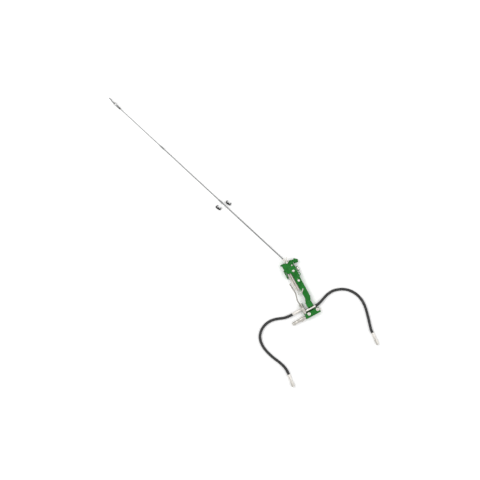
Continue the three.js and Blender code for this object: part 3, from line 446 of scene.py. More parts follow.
def apply_modifier(piece, kind, **settings):
    modifier = piece.modifiers.new(kind.lower(), kind)
    for name, value in settings.items():
        setattr(modifier, name, value)
    bpy.context.view_layer.objects.active = piece
    bpy.ops.object.modifier_apply(modifier=modifier.name)


def finish_piece(piece, bevel, angle=40, segments=2):
    """Breaks the sharp edges and shades the round ones smooth."""
    bpy.ops.object.select_all(action="DESELECT")
    piece.select_set(True)
    bpy.context.view_layer.objects.active = piece
    if bevel:
        apply_modifier(piece, "BEVEL", width=bevel, segments=segments, limit_method="ANGLE",
                       angle_limit=math.radians(angle), use_clamp_overlap=True)
    bpy.ops.object.shade_smooth_by_angle(angle=math.radians(38))


def belongs(piece, *node_names):
    """The piece stands for these nodes, on their body and with their finish."""
    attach(piece, body_of_node[node_names[0]])
    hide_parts(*node_names)
    slot = node_slots[node_names[0]]
    dress(piece, slot)
    return piece


def extra(piece, body, slot):
    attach(piece, body)
    dress(piece, slot)
    return piece


def stand_along(piece, start, direction):
    """Turns a piece made up the Z axis to its own line, and applies its place."""
    turn = Z_AXIS.rotation_difference(Vector(direction).normalized())
    piece.matrix_world = (Matrix.Translation(start) @ turn.to_matrix().to_4x4()
                          @ piece.matrix_world)
    bpy.ops.object.select_all(action="DESELECT")
    piece.select_set(True)
    bpy.context.view_layer.objects.active = piece
    bpy.ops.object.transform_apply(location=True, rotation=True, scale=True)


def turned(name, profile, start, direction, sides=ROUND, bored=False, bevel=0.0003,
           ribs=None, twist=0.0):
    """A turned piece in millimetres of radius and distance; ribs are raised strips."""
    radius, height = profile[0]
    bpy.ops.mesh.primitive_circle_add(
        vertices=sides, radius=radius * MM, location=(0, 0, height * MM),
        fill_type="NOTHING" if bored else "NGON")
    piece = bpy.context.object
    piece.name = name
    edit(piece)
    if bored:
        bpy.ops.mesh.select_mode(type="EDGE")
    bpy.ops.mesh.select_all(action="SELECT")
    for next_radius, next_height in profile[1:]:
        bpy.ops.mesh.extrude_region_move(
            TRANSFORM_OT_translate={"value": (0, 0, (next_height - height) * MM)})
        grow = next_radius / radius
        bpy.ops.transform.resize(value=(grow, grow, 1),
                                 center_override=(0, 0, next_height * MM))
        radius, height = next_radius, next_height
    if bored:
        bpy.ops.mesh.select_all(action="DESELECT")
        bpy.ops.mesh.select_non_manifold(
            extend=False, use_wire=False, use_boundary=True, use_multi_face=False,
            use_non_contiguous=False, use_verts=False)
        bpy.ops.mesh.bridge_edge_loops()
    bpy.ops.mesh.select_mode(type="FACE")
    bpy.ops.mesh.select_all(action="SELECT")
    bpy.ops.mesh.remove_doubles(threshold=1e-6)
    bpy.ops.mesh.normals_make_consistent(inside=False)
    leave_edit()
    if ribs:
        raise_ribs(piece, sides, *ribs)
    if twist:
        piece.rotation_euler.z += twist
        bpy.context.view_layer.update()
    stand_along(piece, start, direction)
    finish_piece(piece, bevel)
    return piece


def raise_ribs(piece, sides, low, high, depth):
    """Raises every other strip of the outer wall between two heights."""
    place = piece.matrix_world
    for element in (*piece.data.vertices, *piece.data.edges):
        element.select = False
    for face in piece.data.polygons:
        centre = place @ face.center
        strip = round(math.atan2(centre.y, centre.x) / (2 * math.pi) * sides - 0.5)
        outward = face.normal.x * centre.x + face.normal.y * centre.y > 0
        face.select = (low * MM < centre.z < high * MM and outward and strip % 2 == 0
                       and abs(face.normal.z) < 0.5)
    bpy.ops.object.select_all(action="DESELECT")
    bpy.context.view_layer.objects.active = piece
    piece.select_set(True)
    bpy.ops.object.mode_set(mode="EDIT")
    bpy.ops.mesh.select_mode(type="FACE")
    bpy.ops.mesh.extrude_region_shrink_fatten(
        TRANSFORM_OT_shrink_fatten={"value": depth * MM})
    bpy.ops.mesh.select_all(action="SELECT")
    bpy.ops.mesh.normals_make_consistent(inside=False)
    leave_edit()


def softened(node_name, bevel=0.0007, segments=3, angle=42):
    """A copy of a plate or block with its edges rounded."""
    piece = bpy.data.objects.new(f"{node_name}_shaped", nodes[node_name].data.copy())
    bpy.context.scene.collection.objects.link(piece)
    edit(piece)
    bpy.ops.mesh.select_all(action="SELECT")
    bpy.ops.mesh.remove_doubles(threshold=1e-6)
    bpy.ops.mesh.dissolve_limited(angle_limit=math.radians(1.5))
    leave_edit()
    finish_piece(piece, bevel, angle, segments)
    return belongs(piece, node_name)


def socket_in_face(piece, centre, normal, across, depth):
    """Cuts a hexagon socket into a screw's face."""
    bpy.ops.mesh.primitive_cylinder_add(
        vertices=6, radius=across / math.sqrt(3), depth=2 * depth, location=(0, 0, 0))
    cutter = bpy.context.object
    stand_along(cutter, centre, normal)
    apply_modifier(piece, "BOOLEAN", operation="DIFFERENCE", object=cutter, solver="EXACT")
    bpy.data.objects.remove(cutter)


def weld_bead(name, start, end, radius, body, slot="green_paint"):
    """A rippled fillet of weld metal between two points."""
    start, end = Vector(start), Vector(end)
    steps = max(8, int((end - start).length / 0.0011))
    route = [start.lerp(end, i / steps) for i in range(steps + 1)]
    bead = tube_along(name, route, radius, sides=10)
    direction = (end - start).normalized()
    for vertex in bead.data.vertices:
        distance = (vertex.co - start).dot(direction)
        centre = start + direction * distance
        ripple = 1 + 0.1 * math.sin(distance / 0.0036 * 2 * math.pi)
        end_round = min(1.0, 0.35 + min(distance, (end - start).length - distance) / 0.003)
        vertex.co = centre + (vertex.co - centre) * ripple * end_round
    return extra(bead, body, slot)


# ---------- foot, bracket and mast ----------
for plate in ("tie_plate", "port_channel", "mast_tube", "head_back_plate",
              "head_front_plate", "flange_left", "flange_right", "spring_guard",
              "lock_housing", "guide_bracket"):
    softened(plate)
softened("spring_anchor_strap", bevel=0.0005)
softened("manifold_block", bevel=0.0005)
for inner in ("pole_knuckle", "tip_clevis"):
    softened(inner, bevel=0.0006)

mast_low, mast_high = corners("mast_tube")
front_low, front_high = corners("head_front_plate")
channel_low, channel_high = corners("port_channel")
MAST_WIDTH = 0.040
foot_left, foot_right = -MAST_WIDTH / 2, MAST_WIDTH / 2
tie_top = corners("tie_plate")[1].z
HEAD_LOW_Y = front_low.y


def make_welds():
    """Beads where the mast, the plates and the flanges were joined."""
    top = mast_high.z + 0.0002
    weld_bead("weld_head_lower", (mast_high.x - 0.039, HEAD_LOW_Y - 0.0004, top),
              (mast_high.x - 0.001, HEAD_LOW_Y - 0.0004, top), 0.0017, "root")
    weld_bead("weld_foot_left", (foot_left - 0.0004, mast_low.y + 0.002, tie_top + 0.0002),
              (foot_left - 0.0004, 0.082, tie_top + 0.0002), 0.0016, "root")
    weld_bead("weld_foot_right", (foot_right + 0.0004, mast_low.y + 0.002, tie_top + 0.0002),
              (foot_right + 0.0004, 0.082, tie_top + 0.0002), 0.0016, "root")
    for side in ("left", "right"):
        low, high = corners(f"flange_{side}")
        seam_z = front_high.z - 0.0002
        start_x = max(low.x, front_low.x) + 0.002
        end_x = min(high.x, front_high.x) - 0.002
        weld_bead(f"weld_flange_{side}", (start_x, low.y - 0.0004, seam_z),
                  (end_x, low.y - 0.0004, seam_z), 0.0015, "root")
    for side, edge in (("near", channel_low.y), ("far", channel_high.y)):
        out = -0.0003 if side == "near" else 0.0003
        weld_bead(f"weld_channel_{side}", (channel_low.x + 0.003, edge + out, tie_top),
                  (channel_high.x - 0.003, edge + out, tie_top), 0.0013, "root")


make_welds()


# ---------- screws ----------


SCREW_HEAD = 6
SOCKET_DEPTH = 2.6 * MM


def capped_screw(node_name, shank, flange, cap, socket):
    """A flanged cap screw with a hexagon socket, standing in its node's place."""
    low, high = corners(node_name)
    centre = (low + high) / 2
    top = high.z / MM
    seat = top - SCREW_HEAD
    screw = turned(f"{node_name}_screw", [
        (shank - 0.6, low.z / MM), (shank, low.z / MM + 0.8), (shank, seat),
        (flange, seat), (flange, seat + 1.0), (flange - 0.8, seat + 2.2),
        (cap + 0.6, seat + 2.6), (cap, seat + 3.4), (cap, top - 0.5), (cap - 0.6, top),
    ], (centre.x, centre.y, 0), Z_AXIS, bevel=0.0002)
    socket_in_face(screw, (centre.x, centre.y, top * MM), Z_AXIS, socket * MM,
                   SOCKET_DEPTH)
    return belongs(screw, node_name)


capped_screw("port_bolt_left", 3.0, 12.0, 7.0, 6.0)
capped_screw("port_bolt_right", 3.0, 12.0, 7.0, 6.0)
capped_screw("head_bolt_upper", 4.0, 8.5, 5.3, 5.0)
capped_screw("head_bolt_lower", 4.0, 8.5, 5.3, 5.0)
capped_screw("head_bolt_side", 4.0, 6.0, 4.6, 4.0)


def make_pivot_bolt():
    low, high = corners("pivot_bolt")
    centre = (low + high) / 2
    top = high.z / MM
    bolt = turned("pivot_bolt_turned", [
        (4.4, low.z / MM), (5, low.z / MM + 0.8), (5, top - 3), (7, top - 3),
        (7, top - 0.8), (6.2, top), (4.0, top), (3.4, top - 0.6),
    ], (centre.x, centre.y, 0), Z_AXIS, bevel=0.0002)
    belongs(bolt, "pivot_bolt")


make_pivot_bolt()


# ---------- port line: end plug, coupler, ferrules, valve ----------
def make_end_plug():
    low, high = corners("manifold_end_plug")
    centre = (low + high) / 2
    start = channel_high.x / MM
    plug = turned("end_plug_turned", [
        (3.2, start - 8), (3.7, start - 7), (3.7, start + 0.3), (8, start + 0.3),
        (8, start + 1.6), (7.4, start + 2.2), (7.4, start + 6.6), (6.6, start + 8),
    ], (0, centre.y, centre.z), (1, 0, 0), bevel=0.0002)
    socket_in_face(plug, (high.x, centre.y, centre.z), (1, 0, 0), 6 * MM, 3 * MM)
    belongs(plug, "manifold_end_plug")


SLEEVE_LENGTH = 24
LATCH_SIZE = (0.008, 0.007, 0.008)
LATCH_REACH = 0.034  # from the bracket to the latch


def make_coupler():
    """Quick coupler: turned body with grooves and a spring-loaded knurled sleeve."""
    low, _ = corners("coupler_body")
    sleeve = middle("coupler_sleeve")
    start = (channel_low.x, sleeve.y, sleeve.z)
    body = turned("coupler_turned", [
        (3.7, -8), (3.7, 0.3), (12, 0.3), (12, 4), (14, 4.2), (14.5, 5), (14.5, 12),
        (13.6, 12.6), (13.6, 14.4), (14.5, 15), (14.5, 38), (14, 38.8), (12.1, 39.2),
        (12, 45), (11.2, 45.8), (11.2, 48.2), (12, 49), (12, 74), (9.5, 74.2),
        (9.5, 104.2), (8.9, 105), (6.6, 105), (6, 104.2), (6, 55.4),
    ], start, (-1, 0, 0), sides=72, ribs=(16, 37, 0.35), bevel=0.00015)
    lug_x = channel_low.x - LATCH_REACH
    bpy.ops.mesh.primitive_cube_add(size=1, location=(
        lug_x, low.y + LATCH_SIZE[1] / 2, sleeve.z))
    lug = bpy.context.object
    lug.scale = LATCH_SIZE
    bpy.ops.object.transform_apply(location=True, rotation=True, scale=True)
    lug.name = "coupler_latch"
    edit(lug)
    bpy.ops.mesh.select_all(action="SELECT")
    bpy.ops.mesh.inset(thickness=0.0012, depth=0.0)
    leave_edit()
    finish_piece(lug, 0.0012, segments=3)
    extra(lug, "root", "steel")
    belongs(body, "coupler_body")
    _, sleeve_high = corners("coupler_sleeve")
    outer = turned("sleeve_knurled", [
        (9.8, 0), (11.2, 0), (11.4, 1.2), (11.4, SLEEVE_LENGTH - 7),
        (10.6, SLEEVE_LENGTH - 6.4), (10.6, SLEEVE_LENGTH - 4.4), (11.6, SLEEVE_LENGTH - 4),
        (12, SLEEVE_LENGTH - 3.4), (12, SLEEVE_LENGTH - 0.6), (11.4, SLEEVE_LENGTH),
        (9.8, SLEEVE_LENGTH),
    ], (sleeve_high.x, sleeve.y, sleeve.z), (-1, 0, 0), sides=72, bored=True, bevel=0.00015,
        ribs=(1.5, SLEEVE_LENGTH - 8, 0.5))
    belongs(outer, "coupler_sleeve")


def crimped(length):
    """The outline of a ferrule pressed on to a hose in eight narrow rings."""
    profile = [(4.2, -4.5), (4.7, -4), (4.7, 0.3), (8.2, 0.3), (8.7, 0.8), (8.7, 6),
               (9.6, 6.8), (10.2, 7.6)]
    rings = 8
    pitch = (length - 16) / rings
    for ring in range(rings):
        at = 9 + ring * pitch
        profile += [(10.2, at), (9.65, at + 0.8), (9.65, at + 2.2), (10.2, at + 3.0)]
    profile += [(10.2, length - 4), (9.9, length - 1), (9.5, length)]
    return profile


def make_ferrules():
    for node_name, direction in (("inlet_ferrule", -1), ("outlet_ferrule", 1)):
        low, high = corners(node_name)
        centre = (low + high) / 2
        valve = corners("valve_body")[0 if direction < 0 else 1].x
        end = low.x if direction < 0 else high.x
        length = abs(end - valve) / MM
        ferrule = turned(f"{node_name}_crimped", crimped(length), (valve, centre.y, centre.z),
                         (direction, 0, 0), bevel=0.0002)
        belongs(ferrule, node_name)


def make_valve_body():
    """A round stepped barrel, a neck for the stem and two side bosses."""
    low, high = corners("valve_body")
    centre = (low + high) / 2
    radius = (high.z - low.z) / 2 / MM
    length = (high.y - low.y) / MM
    line_z = middle("inlet_ferrule").z
    barrel = turned("valve_barrel", [
        (5.0, 6), (5.0, 0.6), (5.6, 0), (radius - 1.6, 0), (radius - 0.2, 1.4),
        (radius - 0.2, 10), (radius - 1.8, 11.4), (radius - 1.8, 20), (radius, 21.5),
        (radius, length - 22), (radius - 0.9, length - 20.4), (radius - 0.9, length - 9),
        (radius - 0.2, length - 8), (radius - 0.2, length - 1.6), (radius - 2.0, length),
    ], (centre.x, low.y, centre.z), (0, 1, 0), bevel=0.0003)
    belongs(barrel, "valve_body")
    stem = middle("valve_plug")
    neck = turned("valve_neck", [
        (10.2, 0), (10.2, 7), (11.2, 8.4), (11.2, 12.6), (10.8, 13.0), (8.3, 13.0),
        (8.3, 11.0),
    ], (stem.x, stem.y, high.z - 13 * MM), Z_AXIS, bevel=0.0002)
    extra(neck, "root", "steel")
    for node_name, direction in (("inlet_ferrule", -1), ("outlet_ferrule", 1)):
        side = middle(node_name)
        face = (low if direction < 0 else high).x
        boss = turned(f"{node_name}_boss", [
            (9.0, -9), (9.0, -1.6), (8.6, -1.2), (8.6, -0.2), (8.2, 0), (4.9, 0), (4.9, -2),
        ], (face, side.y, line_z), (direction, 0, 0), bevel=0.0001)
        extra(boss, "root", "steel")


def make_valve_top():
    low, high = corners("valve_bonnet")
    centre = (low + high) / 2
    top = high.z / MM
    bonnet = turned("bonnet_hex", [
        (4.3, low.z / MM), (8, low.z / MM), (8, top - 3), (10.4, top - 3), (11, top - 2.4),
        (11, top - 0.6), (10.4, top), (4.3, top),
    ], (centre.x, centre.y, 0), Z_AXIS, bored=True, bevel=0.0002)
    belongs(bonnet, "valve_bonnet")


make_end_plug()
make_coupler()
make_ferrules()
make_valve_body()
make_valve_top()


# ---------- balance springs ----------
SPRING_WIRE = 1.3 * MM
SPRING_HOOK = 5.0 * MM
SPRING_PITCH = 2.75 * MM
FOOT_LEAD = 27 * MM  # from the foot pin to the first turn
TOP_LEAD = 37 * MM
TURN_STEPS = 20


def spring_route(low, high):
    """Hook round the foot pin, close turns, hook round the top pin."""
    x, z = (low.x + high.x) / 2, (low.z + high.z) / 2
    coil = (high.x - low.x) / 2 - SPRING_WIRE
    foot = low.y + SPRING_HOOK + SPRING_WIRE
    top = high.y - SPRING_HOOK - SPRING_WIRE
    start, end = foot + FOOT_LEAD, top - TOP_LEAD
    turns = round((end - start - SPRING_WIRE) / SPRING_PITCH)
    open_angle = 0.5
    bow = [open_angle + (2 * math.pi - open_angle) * k / TURN_STEPS
           for k in range(TURN_STEPS + 1)]
    route = [(x, foot + SPRING_HOOK * math.cos(a), z + SPRING_HOOK * math.sin(a))
             for a in bow]
    route.append((x, (foot + SPRING_HOOK + start) / 2, z))
    half_turn = TURN_STEPS // 2
    for k in range(-half_turn, turns * TURN_STEPS + half_turn + 1):
        angle = 2 * math.pi * k / TURN_STEPS
        inside = min(k + half_turn, turns * TURN_STEPS + half_turn - k) / half_turn
        radius = coil * math.sin(min(inside, 1) * math.pi / 2)
        y = start + (end - start) * k / (turns * TURN_STEPS)
        route.append((x + radius * math.cos(angle), y, z + radius * math.sin(angle)))
    route.append((x, (end + top - SPRING_HOOK) / 2, z))
    route += [(x, top - SPRING_HOOK * math.cos(a), z - SPRING_HOOK * math.sin(a))
              for a in reversed(bow)]
    return [Vector(point) for point in route]


def make_springs():
    for side in ("left", "right"):
        low, high = corners(f"spring_{side}")
        spring = tube_along(f"spring_{side}_coil", spring_route(low, high), SPRING_WIRE,
                            sides=10)
        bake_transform(spring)
        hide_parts(f"spring_{side}")
        dress(spring, "spring_steel")


def cross_pin(node_name, radius, groove):
    """A plain pin with a retaining groove near each end."""
    low, high = corners(node_name)
    centre = (low + high) / 2
    size = high - low
    axis = (1, 0, 0) if size.x > size.y else (0, 1, 0)
    length = max(size.x, size.y) / MM
    start = centre - Vector(axis) * length / 2 * MM
    pin = turned(f"{node_name}_turned", [
        (radius - 0.5, 0), (radius, 0.5), (radius, 1.4), (radius - groove, 1.5),
        (radius - groove, 2.2), (radius, 2.3), (radius, length - 2.3),
        (radius - groove, length - 2.2), (radius - groove, length - 1.5),
        (radius, length - 1.4), (radius, length - 0.5), (radius - 0.5, length),
    ], start, axis, sides=FINE_ROUND, bevel=0.00008)
    belongs(pin, node_name)


make_springs()
cross_pin("spring_anchor_pin", 3.0, 0.5)
cross_pin("spring_pin", 3.0, 0.5)
cross_pin("guide_roller_pin", 2.5, 0.4)


# ---------- hand lever ----------
LEVER_BENDS = [(-57, 66), (-59.5, 98), (-61, 130), (-49, 178), (-50, 213), (-52, 246)]
LEVER_BAR = 4.5
LEVER_RISE = 5 * MM  # from the hub's lower face to the bar's middle


def ball_profile(radius, neck, low_angle=-58, steps=12):
    """A ball on a short neck; the ball's middle is at distance zero."""
    low = math.radians(low_angle)
    profile = [(neck, -radius * 0.98), (neck, radius * math.sin(low) - 0.4)]
    for k in range(steps + 1):
        angle = low + (math.radians(84) - low) * k / steps
        profile.append((radius * math.cos(angle), radius * math.sin(angle)))
    return profile


def make_lever():
    low, _ = corners("valve_lever")
    hub = middle("valve_plug")
    axis_z = low.z + LEVER_RISE
    bends = [Vector((x * MM, y * MM, axis_z)) for x, y in LEVER_BENDS]
    bar = tube_along("lever_bar", smooth_route(bends, steps=6), LEVER_BAR * MM)
    extra(bar, "lever", "steel")
    dress(bar, "steel", lever_steel)
    boss = turned("lever_hub", [
        (4.3, 0), (9.2, 0), (10, 0.8), (10, 7.2), (9.2, 8), (4.3, 8),
    ], (hub.x, hub.y, low.z), Z_AXIS, bored=True, bevel=0.0002)
    belongs(boss, "valve_lever")
    knob_low, knob_high = corners("lever_knob")
    centre = (knob_low + knob_high) / 2
    knob = turned("lever_ball", ball_profile(7.0, 5.0), centre, (-0.06, 0.998, 0), bevel=0)
    belongs(knob, "lever_knob")
    stem_top = corners("valve_plug")[1].z / MM
    cap = turned("lever_nut", [
        (3.9, 0), (6.4, 0), (6.8, 0.5), (6.8, 2.3), (6.2, 2.9), (4.15, 2.9),
    ], (hub.x, hub.y, (stem_top - 3.05) * MM), Z_AXIS, sides=6, bored=True, bevel=0.0002)
    extra(cap, "lever", "zinc")


make_lever()


# ---------- lock plunger, roller and guide eye ----------
LOCK_PLACE = Vector((0.047, 0.384, middle("plunger_pin").z))
PLUNGER_RADIUS = 4
PLUNGER_IN = 12  # how far the pin reaches into the knob


def make_plunger():
    outward = Vector(joints["plunger_pull"]["axis"]).normalized()
    pin_low, _ = corners("plunger_pin")
    reach = (LOCK_PLACE.x - pin_low.x) / abs(outward.x) / MM - PLUNGER_RADIUS * 0.4
    length = reach + PLUNGER_IN
    pin = turned("plunger_pin_turned", [
        (2.6, 0), (3.2, 0.6), (PLUNGER_RADIUS, 3.2), (PLUNGER_RADIUS, length - 0.6),
        (3.4, length),
    ], LOCK_PLACE - outward * reach * MM, outward, bevel=0.0002)
    belongs(pin, "plunger_pin")
    knob = turned("plunger_knob_fluted", [
        (4.4, 0.3), (15.6, 0.3), (17.1, 1.6), (17.1, 8.6), (16.2, 11.4), (10.8, 26.4),
        (11.4, 28.6), (10.9, 30.8), (9.4, 32), (3.0, 32), (2.4, 31.4),
    ], LOCK_PLACE, outward, sides=56, ribs=(1.4, 26.5, 0.85), bevel=0.00035)
    belongs(knob, "plunger_knob")


def make_roller():
    low, high = corners("guide_roller")
    centre = (low + high) / 2
    length = (high.y - low.y) / MM
    profile = [(2.8, 0), (5.6, 0), (6.5, 0.9), (6.5, 3.0)]
    waist = 8
    for k in range(waist + 1):
        y = 3.4 + (length - 6.8) * k / waist
        profile.append((6.5 - 1.1 * math.sin(math.pi * k / waist), y))
    profile += [(6.5, length - 3.0), (6.5, length - 0.9), (5.6, length), (2.8, length)]
    roller = turned("guide_roller_turned", profile, (centre.x, low.y, centre.z), (0, 1, 0),
                    bored=True, bevel=0.0001)
    belongs(roller, "guide_roller")


make_plunger()
make_roller()
softened("hose_eye", bevel=0.0011)


# ---------- pivot: hub, spacers and clamp handle ----------
def bush(node_name, radius, bore):
    low, high = corners(node_name)
    centre = (low + high) / 2
    height = (high.z - low.z) / MM
    piece = turned(f"{node_name}_turned", [
        (bore, 0), (radius - 0.4, 0), (radius, 0.4), (radius, height - 0.4),
        (radius - 0.4, height), (bore, height),
    ], (centre.x, centre.y, low.z), Z_AXIS, bored=True, bevel=0.0001)
    belongs(piece, node_name)


CLAMP_BALL = 5.0


def make_clamp_handle():
    low, high = corners("clamp_handle")
    pivot = Vector(joints["clamp_swing"]["pos_m"])
    base = Vector((pivot.x, pivot.y, low.z))
    hub = turned("clamp_hub", [
        (5.3, 0), (7.6, 0), (8.1, 0.6), (8.1, 7.4), (7.6, 8), (5.3, 8),
    ], base, Z_AXIS, sides=56, bored=True, ribs=(0.5, 7.5, 0.4), bevel=0.0001)
    belongs(hub, "clamp_handle")
    ball_centre = Vector((high.x - CLAMP_BALL * MM, high.y - CLAMP_BALL * MM,
                          pivot.z + 3 * MM))
    start = Vector((pivot.x, pivot.y, low.z + 4 * MM))
    span = ball_centre - start
    reach = span.length / MM
    arm = turned("clamp_arm", [
        (3.0, 7.2), (3.2, 8), (2.9, reach * 0.5), (3.3, reach - 3.6), (2.6, reach - 3.2),
    ], start, span, sides=FINE_ROUND, bevel=0.0001)
    extra(arm, "clamp", "zinc")
    ball = turned("clamp_ball", ball_profile(CLAMP_BALL, 3.4), ball_centre, span,
                  sides=FINE_ROUND, bevel=0)
    extra(ball, "clamp", "zinc")


bush("pivot_spacer_lower", 9.0, 5.3)
bush("pivot_spacer_upper", 9.0, 5.3)
bush("head_spacer", 7.0, 4.3)
make_clamp_handle()

# ---------- telescopic pole ----------
pole_axis = Vector(joints["middle_slide"]["axis"]).normalized()
pole_pivot = Vector(joints["pole_pitch"]["pos_m"])
LOWER_TUBE, MIDDLE_TUBE, TOP_TUBE = 4.4, 3.6, 2.8
TUBE_WALL = 0.5
LOWER_ENDS, MIDDLE_ENDS, TOP_ENDS = (12, 620), (520, 1178), (1080, 1600)
COLLAR_WALL = 1.2
COLLAR_LENGTH = 40
FITS = 0.3


def pole_tube(node_name, radius, ends):
    """A drawn tube with rolled edges and a faint stop ring near its inner end."""
    start, end = ends
    bore = radius - TUBE_WALL
    tube = turned(f"{node_name}_drawn", [
        (bore, start), (radius - 0.2, start), (radius, start + 0.3), (radius, start + 14),
        (radius - 0.25, start + 14.6), (radius - 0.25, start + 17), (radius, start + 17.6),
        (radius, (start + end) / 2), (radius, end - 0.3), (radius - 0.2, end), (bore, end),
    ], pole_pivot, pole_axis, sides=32, bored=True, bevel=0)
    belongs(tube, node_name)


def lock_collar(node_name, outer_tube, inner_tube, tube_end):
    """A twist collar: a knurled grip, a groove and a tapered nose."""
    start = tube_end - 12
    end = start + COLLAR_LENGTH
    wide, narrow = outer_tube + FITS, inner_tube + FITS
    body = outer_tube + COLLAR_WALL
    collar = turned(f"{node_name}_knurled", [
        (wide, start), (body - 0.2, start), (body, start + 0.4), (body + 0.25, start + 3),
        (body + 0.25, end - 20), (body, end - 19.6), (body, end - 18),
        (body + 0.2, end - 17.6), (body + 0.2, end - 12), (narrow + 1.4, end - 1.2),
        (narrow + 1.2, end), (narrow, end), (narrow, tube_end + FITS),
        (wide, tube_end + FITS),
    ], pole_pivot, pole_axis, sides=56, bored=True, bevel=0,
        ribs=(start + 3.2, end - 20.3, 0.12))
    belongs(collar, node_name)


pole_tube("pole_lower_tube", LOWER_TUBE, LOWER_ENDS)
pole_tube("pole_middle_tube", MIDDLE_TUBE, MIDDLE_ENDS)
pole_tube("pole_top_tube", TOP_TUBE, TOP_ENDS)
lock_collar("lock_collar_lower", LOWER_TUBE, MIDDLE_TUBE, LOWER_ENDS[1])
lock_collar("lock_collar_upper", MIDDLE_TUBE, TOP_TUBE, MIDDLE_ENDS[1])


# ---------- hexagon nuts ----------
def hexagon_nut(name, radius, start, direction, length, bore, corner_up):
    """A chamfered hexagon with a round stepped bore, all in millimetres."""
    direction = Vector(direction).normalized()
    azimuth = math.atan2(direction.y, direction.x) + (0 if corner_up else math.pi / 6)
    nut = turned(name, [(radius, 0), (radius, length)], start, direction, sides=6, bevel=0,
                 twist=azimuth - math.pi / 2)
    chamfer = turned("chamfer", [
        (radius * 0.84, -0.01), (radius * 0.88, 0), (radius * 1.02, radius * 0.16),
        (radius * 1.02, length - radius * 0.16), (radius * 0.88, length),
        (radius * 0.84, length + 0.01),
    ], start, direction, bevel=0)
    apply_modifier(nut, "BOOLEAN", operation="INTERSECT", object=chamfer, solver="EXACT")
    bpy.data.objects.remove(chamfer)
    hole = turned("hole", bore, start, direction, bevel=0)
    apply_modifier(nut, "BOOLEAN", operation="DIFFERENCE", object=hole, solver="EXACT")
    bpy.data.objects.remove(hole)
    finish_piece(nut, 0.00015, segments=1)
    return nut


def make_jam_nut():
    length = 8.7
    start = pole_pivot + pole_axis * (TOP_ENDS[1] - 8 - 9) * MM
    nut = hexagon_nut("jam_nut_hex", 7.0, start, pole_axis, length,
                      [(TOP_TUBE + FITS, -1), (TOP_TUBE + FITS, length + 1)], True)
    belongs(nut, "tip_jam_nut")


make_jam_nut()


# ---------- bent tip ----------
TIP_PIVOT = 1640
TIP_BEND = [(0, 1650), (0.2, 1655), (0.6, 1661), (3, 1671), (4, 1681), (4, 1692)]
ADAPTER = 4.0


def make_tip():
    across = Vector(joints["tip_tilt"]["axis"]).normalized()

    def place(x, y):
        return pole_pivot + (across * x + pole_axis * y) * MM

    bends = smooth_route([place(x, y) for x, y in TIP_BEND], steps=5)
    bar = tube_along("tip_bar", bends, ADAPTER * MM)
    extra(bar, "tip", "aluminium")
    eye = turned("tip_eye", [
        (2.8, 0), (4.6, 0), (5, 0.4), (5, 7.0), (4.6, 7.4), (2.8, 7.4),
    ], place(-3.7, TIP_PIVOT), across, sides=FINE_ROUND, bored=True, bevel=0.0001)
    belongs(eye, "tip_adapter")
    neck = turned("tip_neck", [
        (3.3, 4.4), (3.5, 5.2), (3.9, 9), (4.0, 11),
    ], place(0, TIP_PIVOT), pole_axis, sides=FINE_ROUND, bevel=0)
    extra(neck, "tip", "aluminium")


make_tip()
softened("wing_screw", bevel=0.0006)


# ---------- hose ends ----------
END_NUT_START = 50
END_NUT_LENGTH = 41
NUT_SEAT = 12


def end_ferrule_profile():
    """Crimped shell, stem and coned nose of a hose end."""
    profile = [(9.6, 0.3), (10.3, 1.0), (10.5, 2.2)]
    bands = 5
    pitch = 34 / bands
    for band in range(bands):
        at = 4 + band * pitch
        profile += [(10.5, at), (9.75, at + 0.9), (9.75, at + 3.4), (10.5, at + 4.3)]
    return profile + [(10.5, 39), (8.7, 42.6), (8.5, 44), (6.8, 44.4), (6.8, 62.3),
                      (8.4, 62.5), (8.2, 63.4), (5.2, 70.0), (4.6, 70.3), (3.4, 70.3),
                      (3.2, 69.8)]


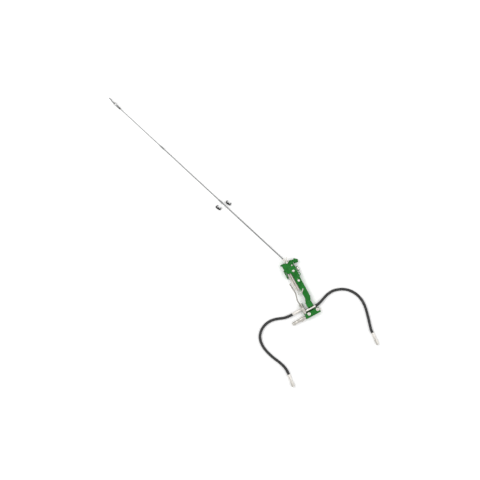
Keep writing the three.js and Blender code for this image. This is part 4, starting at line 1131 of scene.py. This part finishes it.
def make_hose_end(side):
    hose_end = hoses[side][1][-1]
    direction = Vector(joints[f"{side}_nut_spin"]["axis"]).normalized()
    ferrule = turned(f"{side}_end_crimped", end_ferrule_profile(), hose_end, direction,
                     bevel=0.00015)
    belongs(ferrule, f"{side}_end_ferrule")
    start = hose_end + direction * END_NUT_START * MM
    nut = hexagon_nut(f"{side}_end_nut_hex", 11.8, start, direction, END_NUT_LENGTH, [
        (7.1, -1), (7.1, NUT_SEAT - 0.4), (8.8, NUT_SEAT), (8.8, END_NUT_LENGTH - 1),
        (9.4, END_NUT_LENGTH), (9.4, END_NUT_LENGTH + 1),
    ], True)
    belongs(nut, f"{side}_end_nut")
    return ferrule, nut


hose_ends = {side: make_hose_end(side) for side in hoses}

# ---------- loose hose clips ----------
for clip in ("hose_clip_left", "hose_clip_right"):
    softened(clip, bevel=0.0014, segments=4)


# ---------- floor and light ---------------
def make_stage():
    bpy.ops.mesh.primitive_plane_add(size=60, location=(*VIEW_CENTRE, -0.0004))
    floor = bpy.context.object
    floor.name = "floor"
    material, tree, shader = new_material("pale_floor")
    tone = object_noise(tree, 1.2, 2)
    tree.links.new(mix_colour(tree, tone, to_linear("f6f6f6"), to_linear("fbfbfb")),
                   shader.inputs["Base Color"])
    shader.inputs["Roughness"].default_value = 0.9
    shader.inputs["Specular IOR Level"].default_value = 0.1
    floor.data.materials.append(material)


def add_area_light(name, place, power, size):
    data = bpy.data.lights.new(name, "AREA")
    data.energy = power
    data.size = size
    light = bpy.data.objects.new(name, data)
    bpy.context.scene.collection.objects.link(light)
    light.location = place
    aim = Vector((*VIEW_CENTRE, 0)) - Vector(place)
    light.rotation_euler = aim.to_track_quat("-Z", "Y").to_euler()


def make_light():
    world = bpy.data.worlds.new("studio")
    bpy.context.scene.world = world
    world.use_nodes = True
    background = world.node_tree.nodes["Background"]
    background.inputs["Color"].default_value = (1, 1, 1, 1)
    background.inputs["Strength"].default_value = 0.92
    add_area_light("key", (-2.6, 3.4, 5.0), 130, 3.0)
    add_area_light("fill", (3.4, -1.2, 4.2), 60, 3.5)
    bpy.context.scene.view_settings.view_transform = "Standard"


make_stage()
make_light()
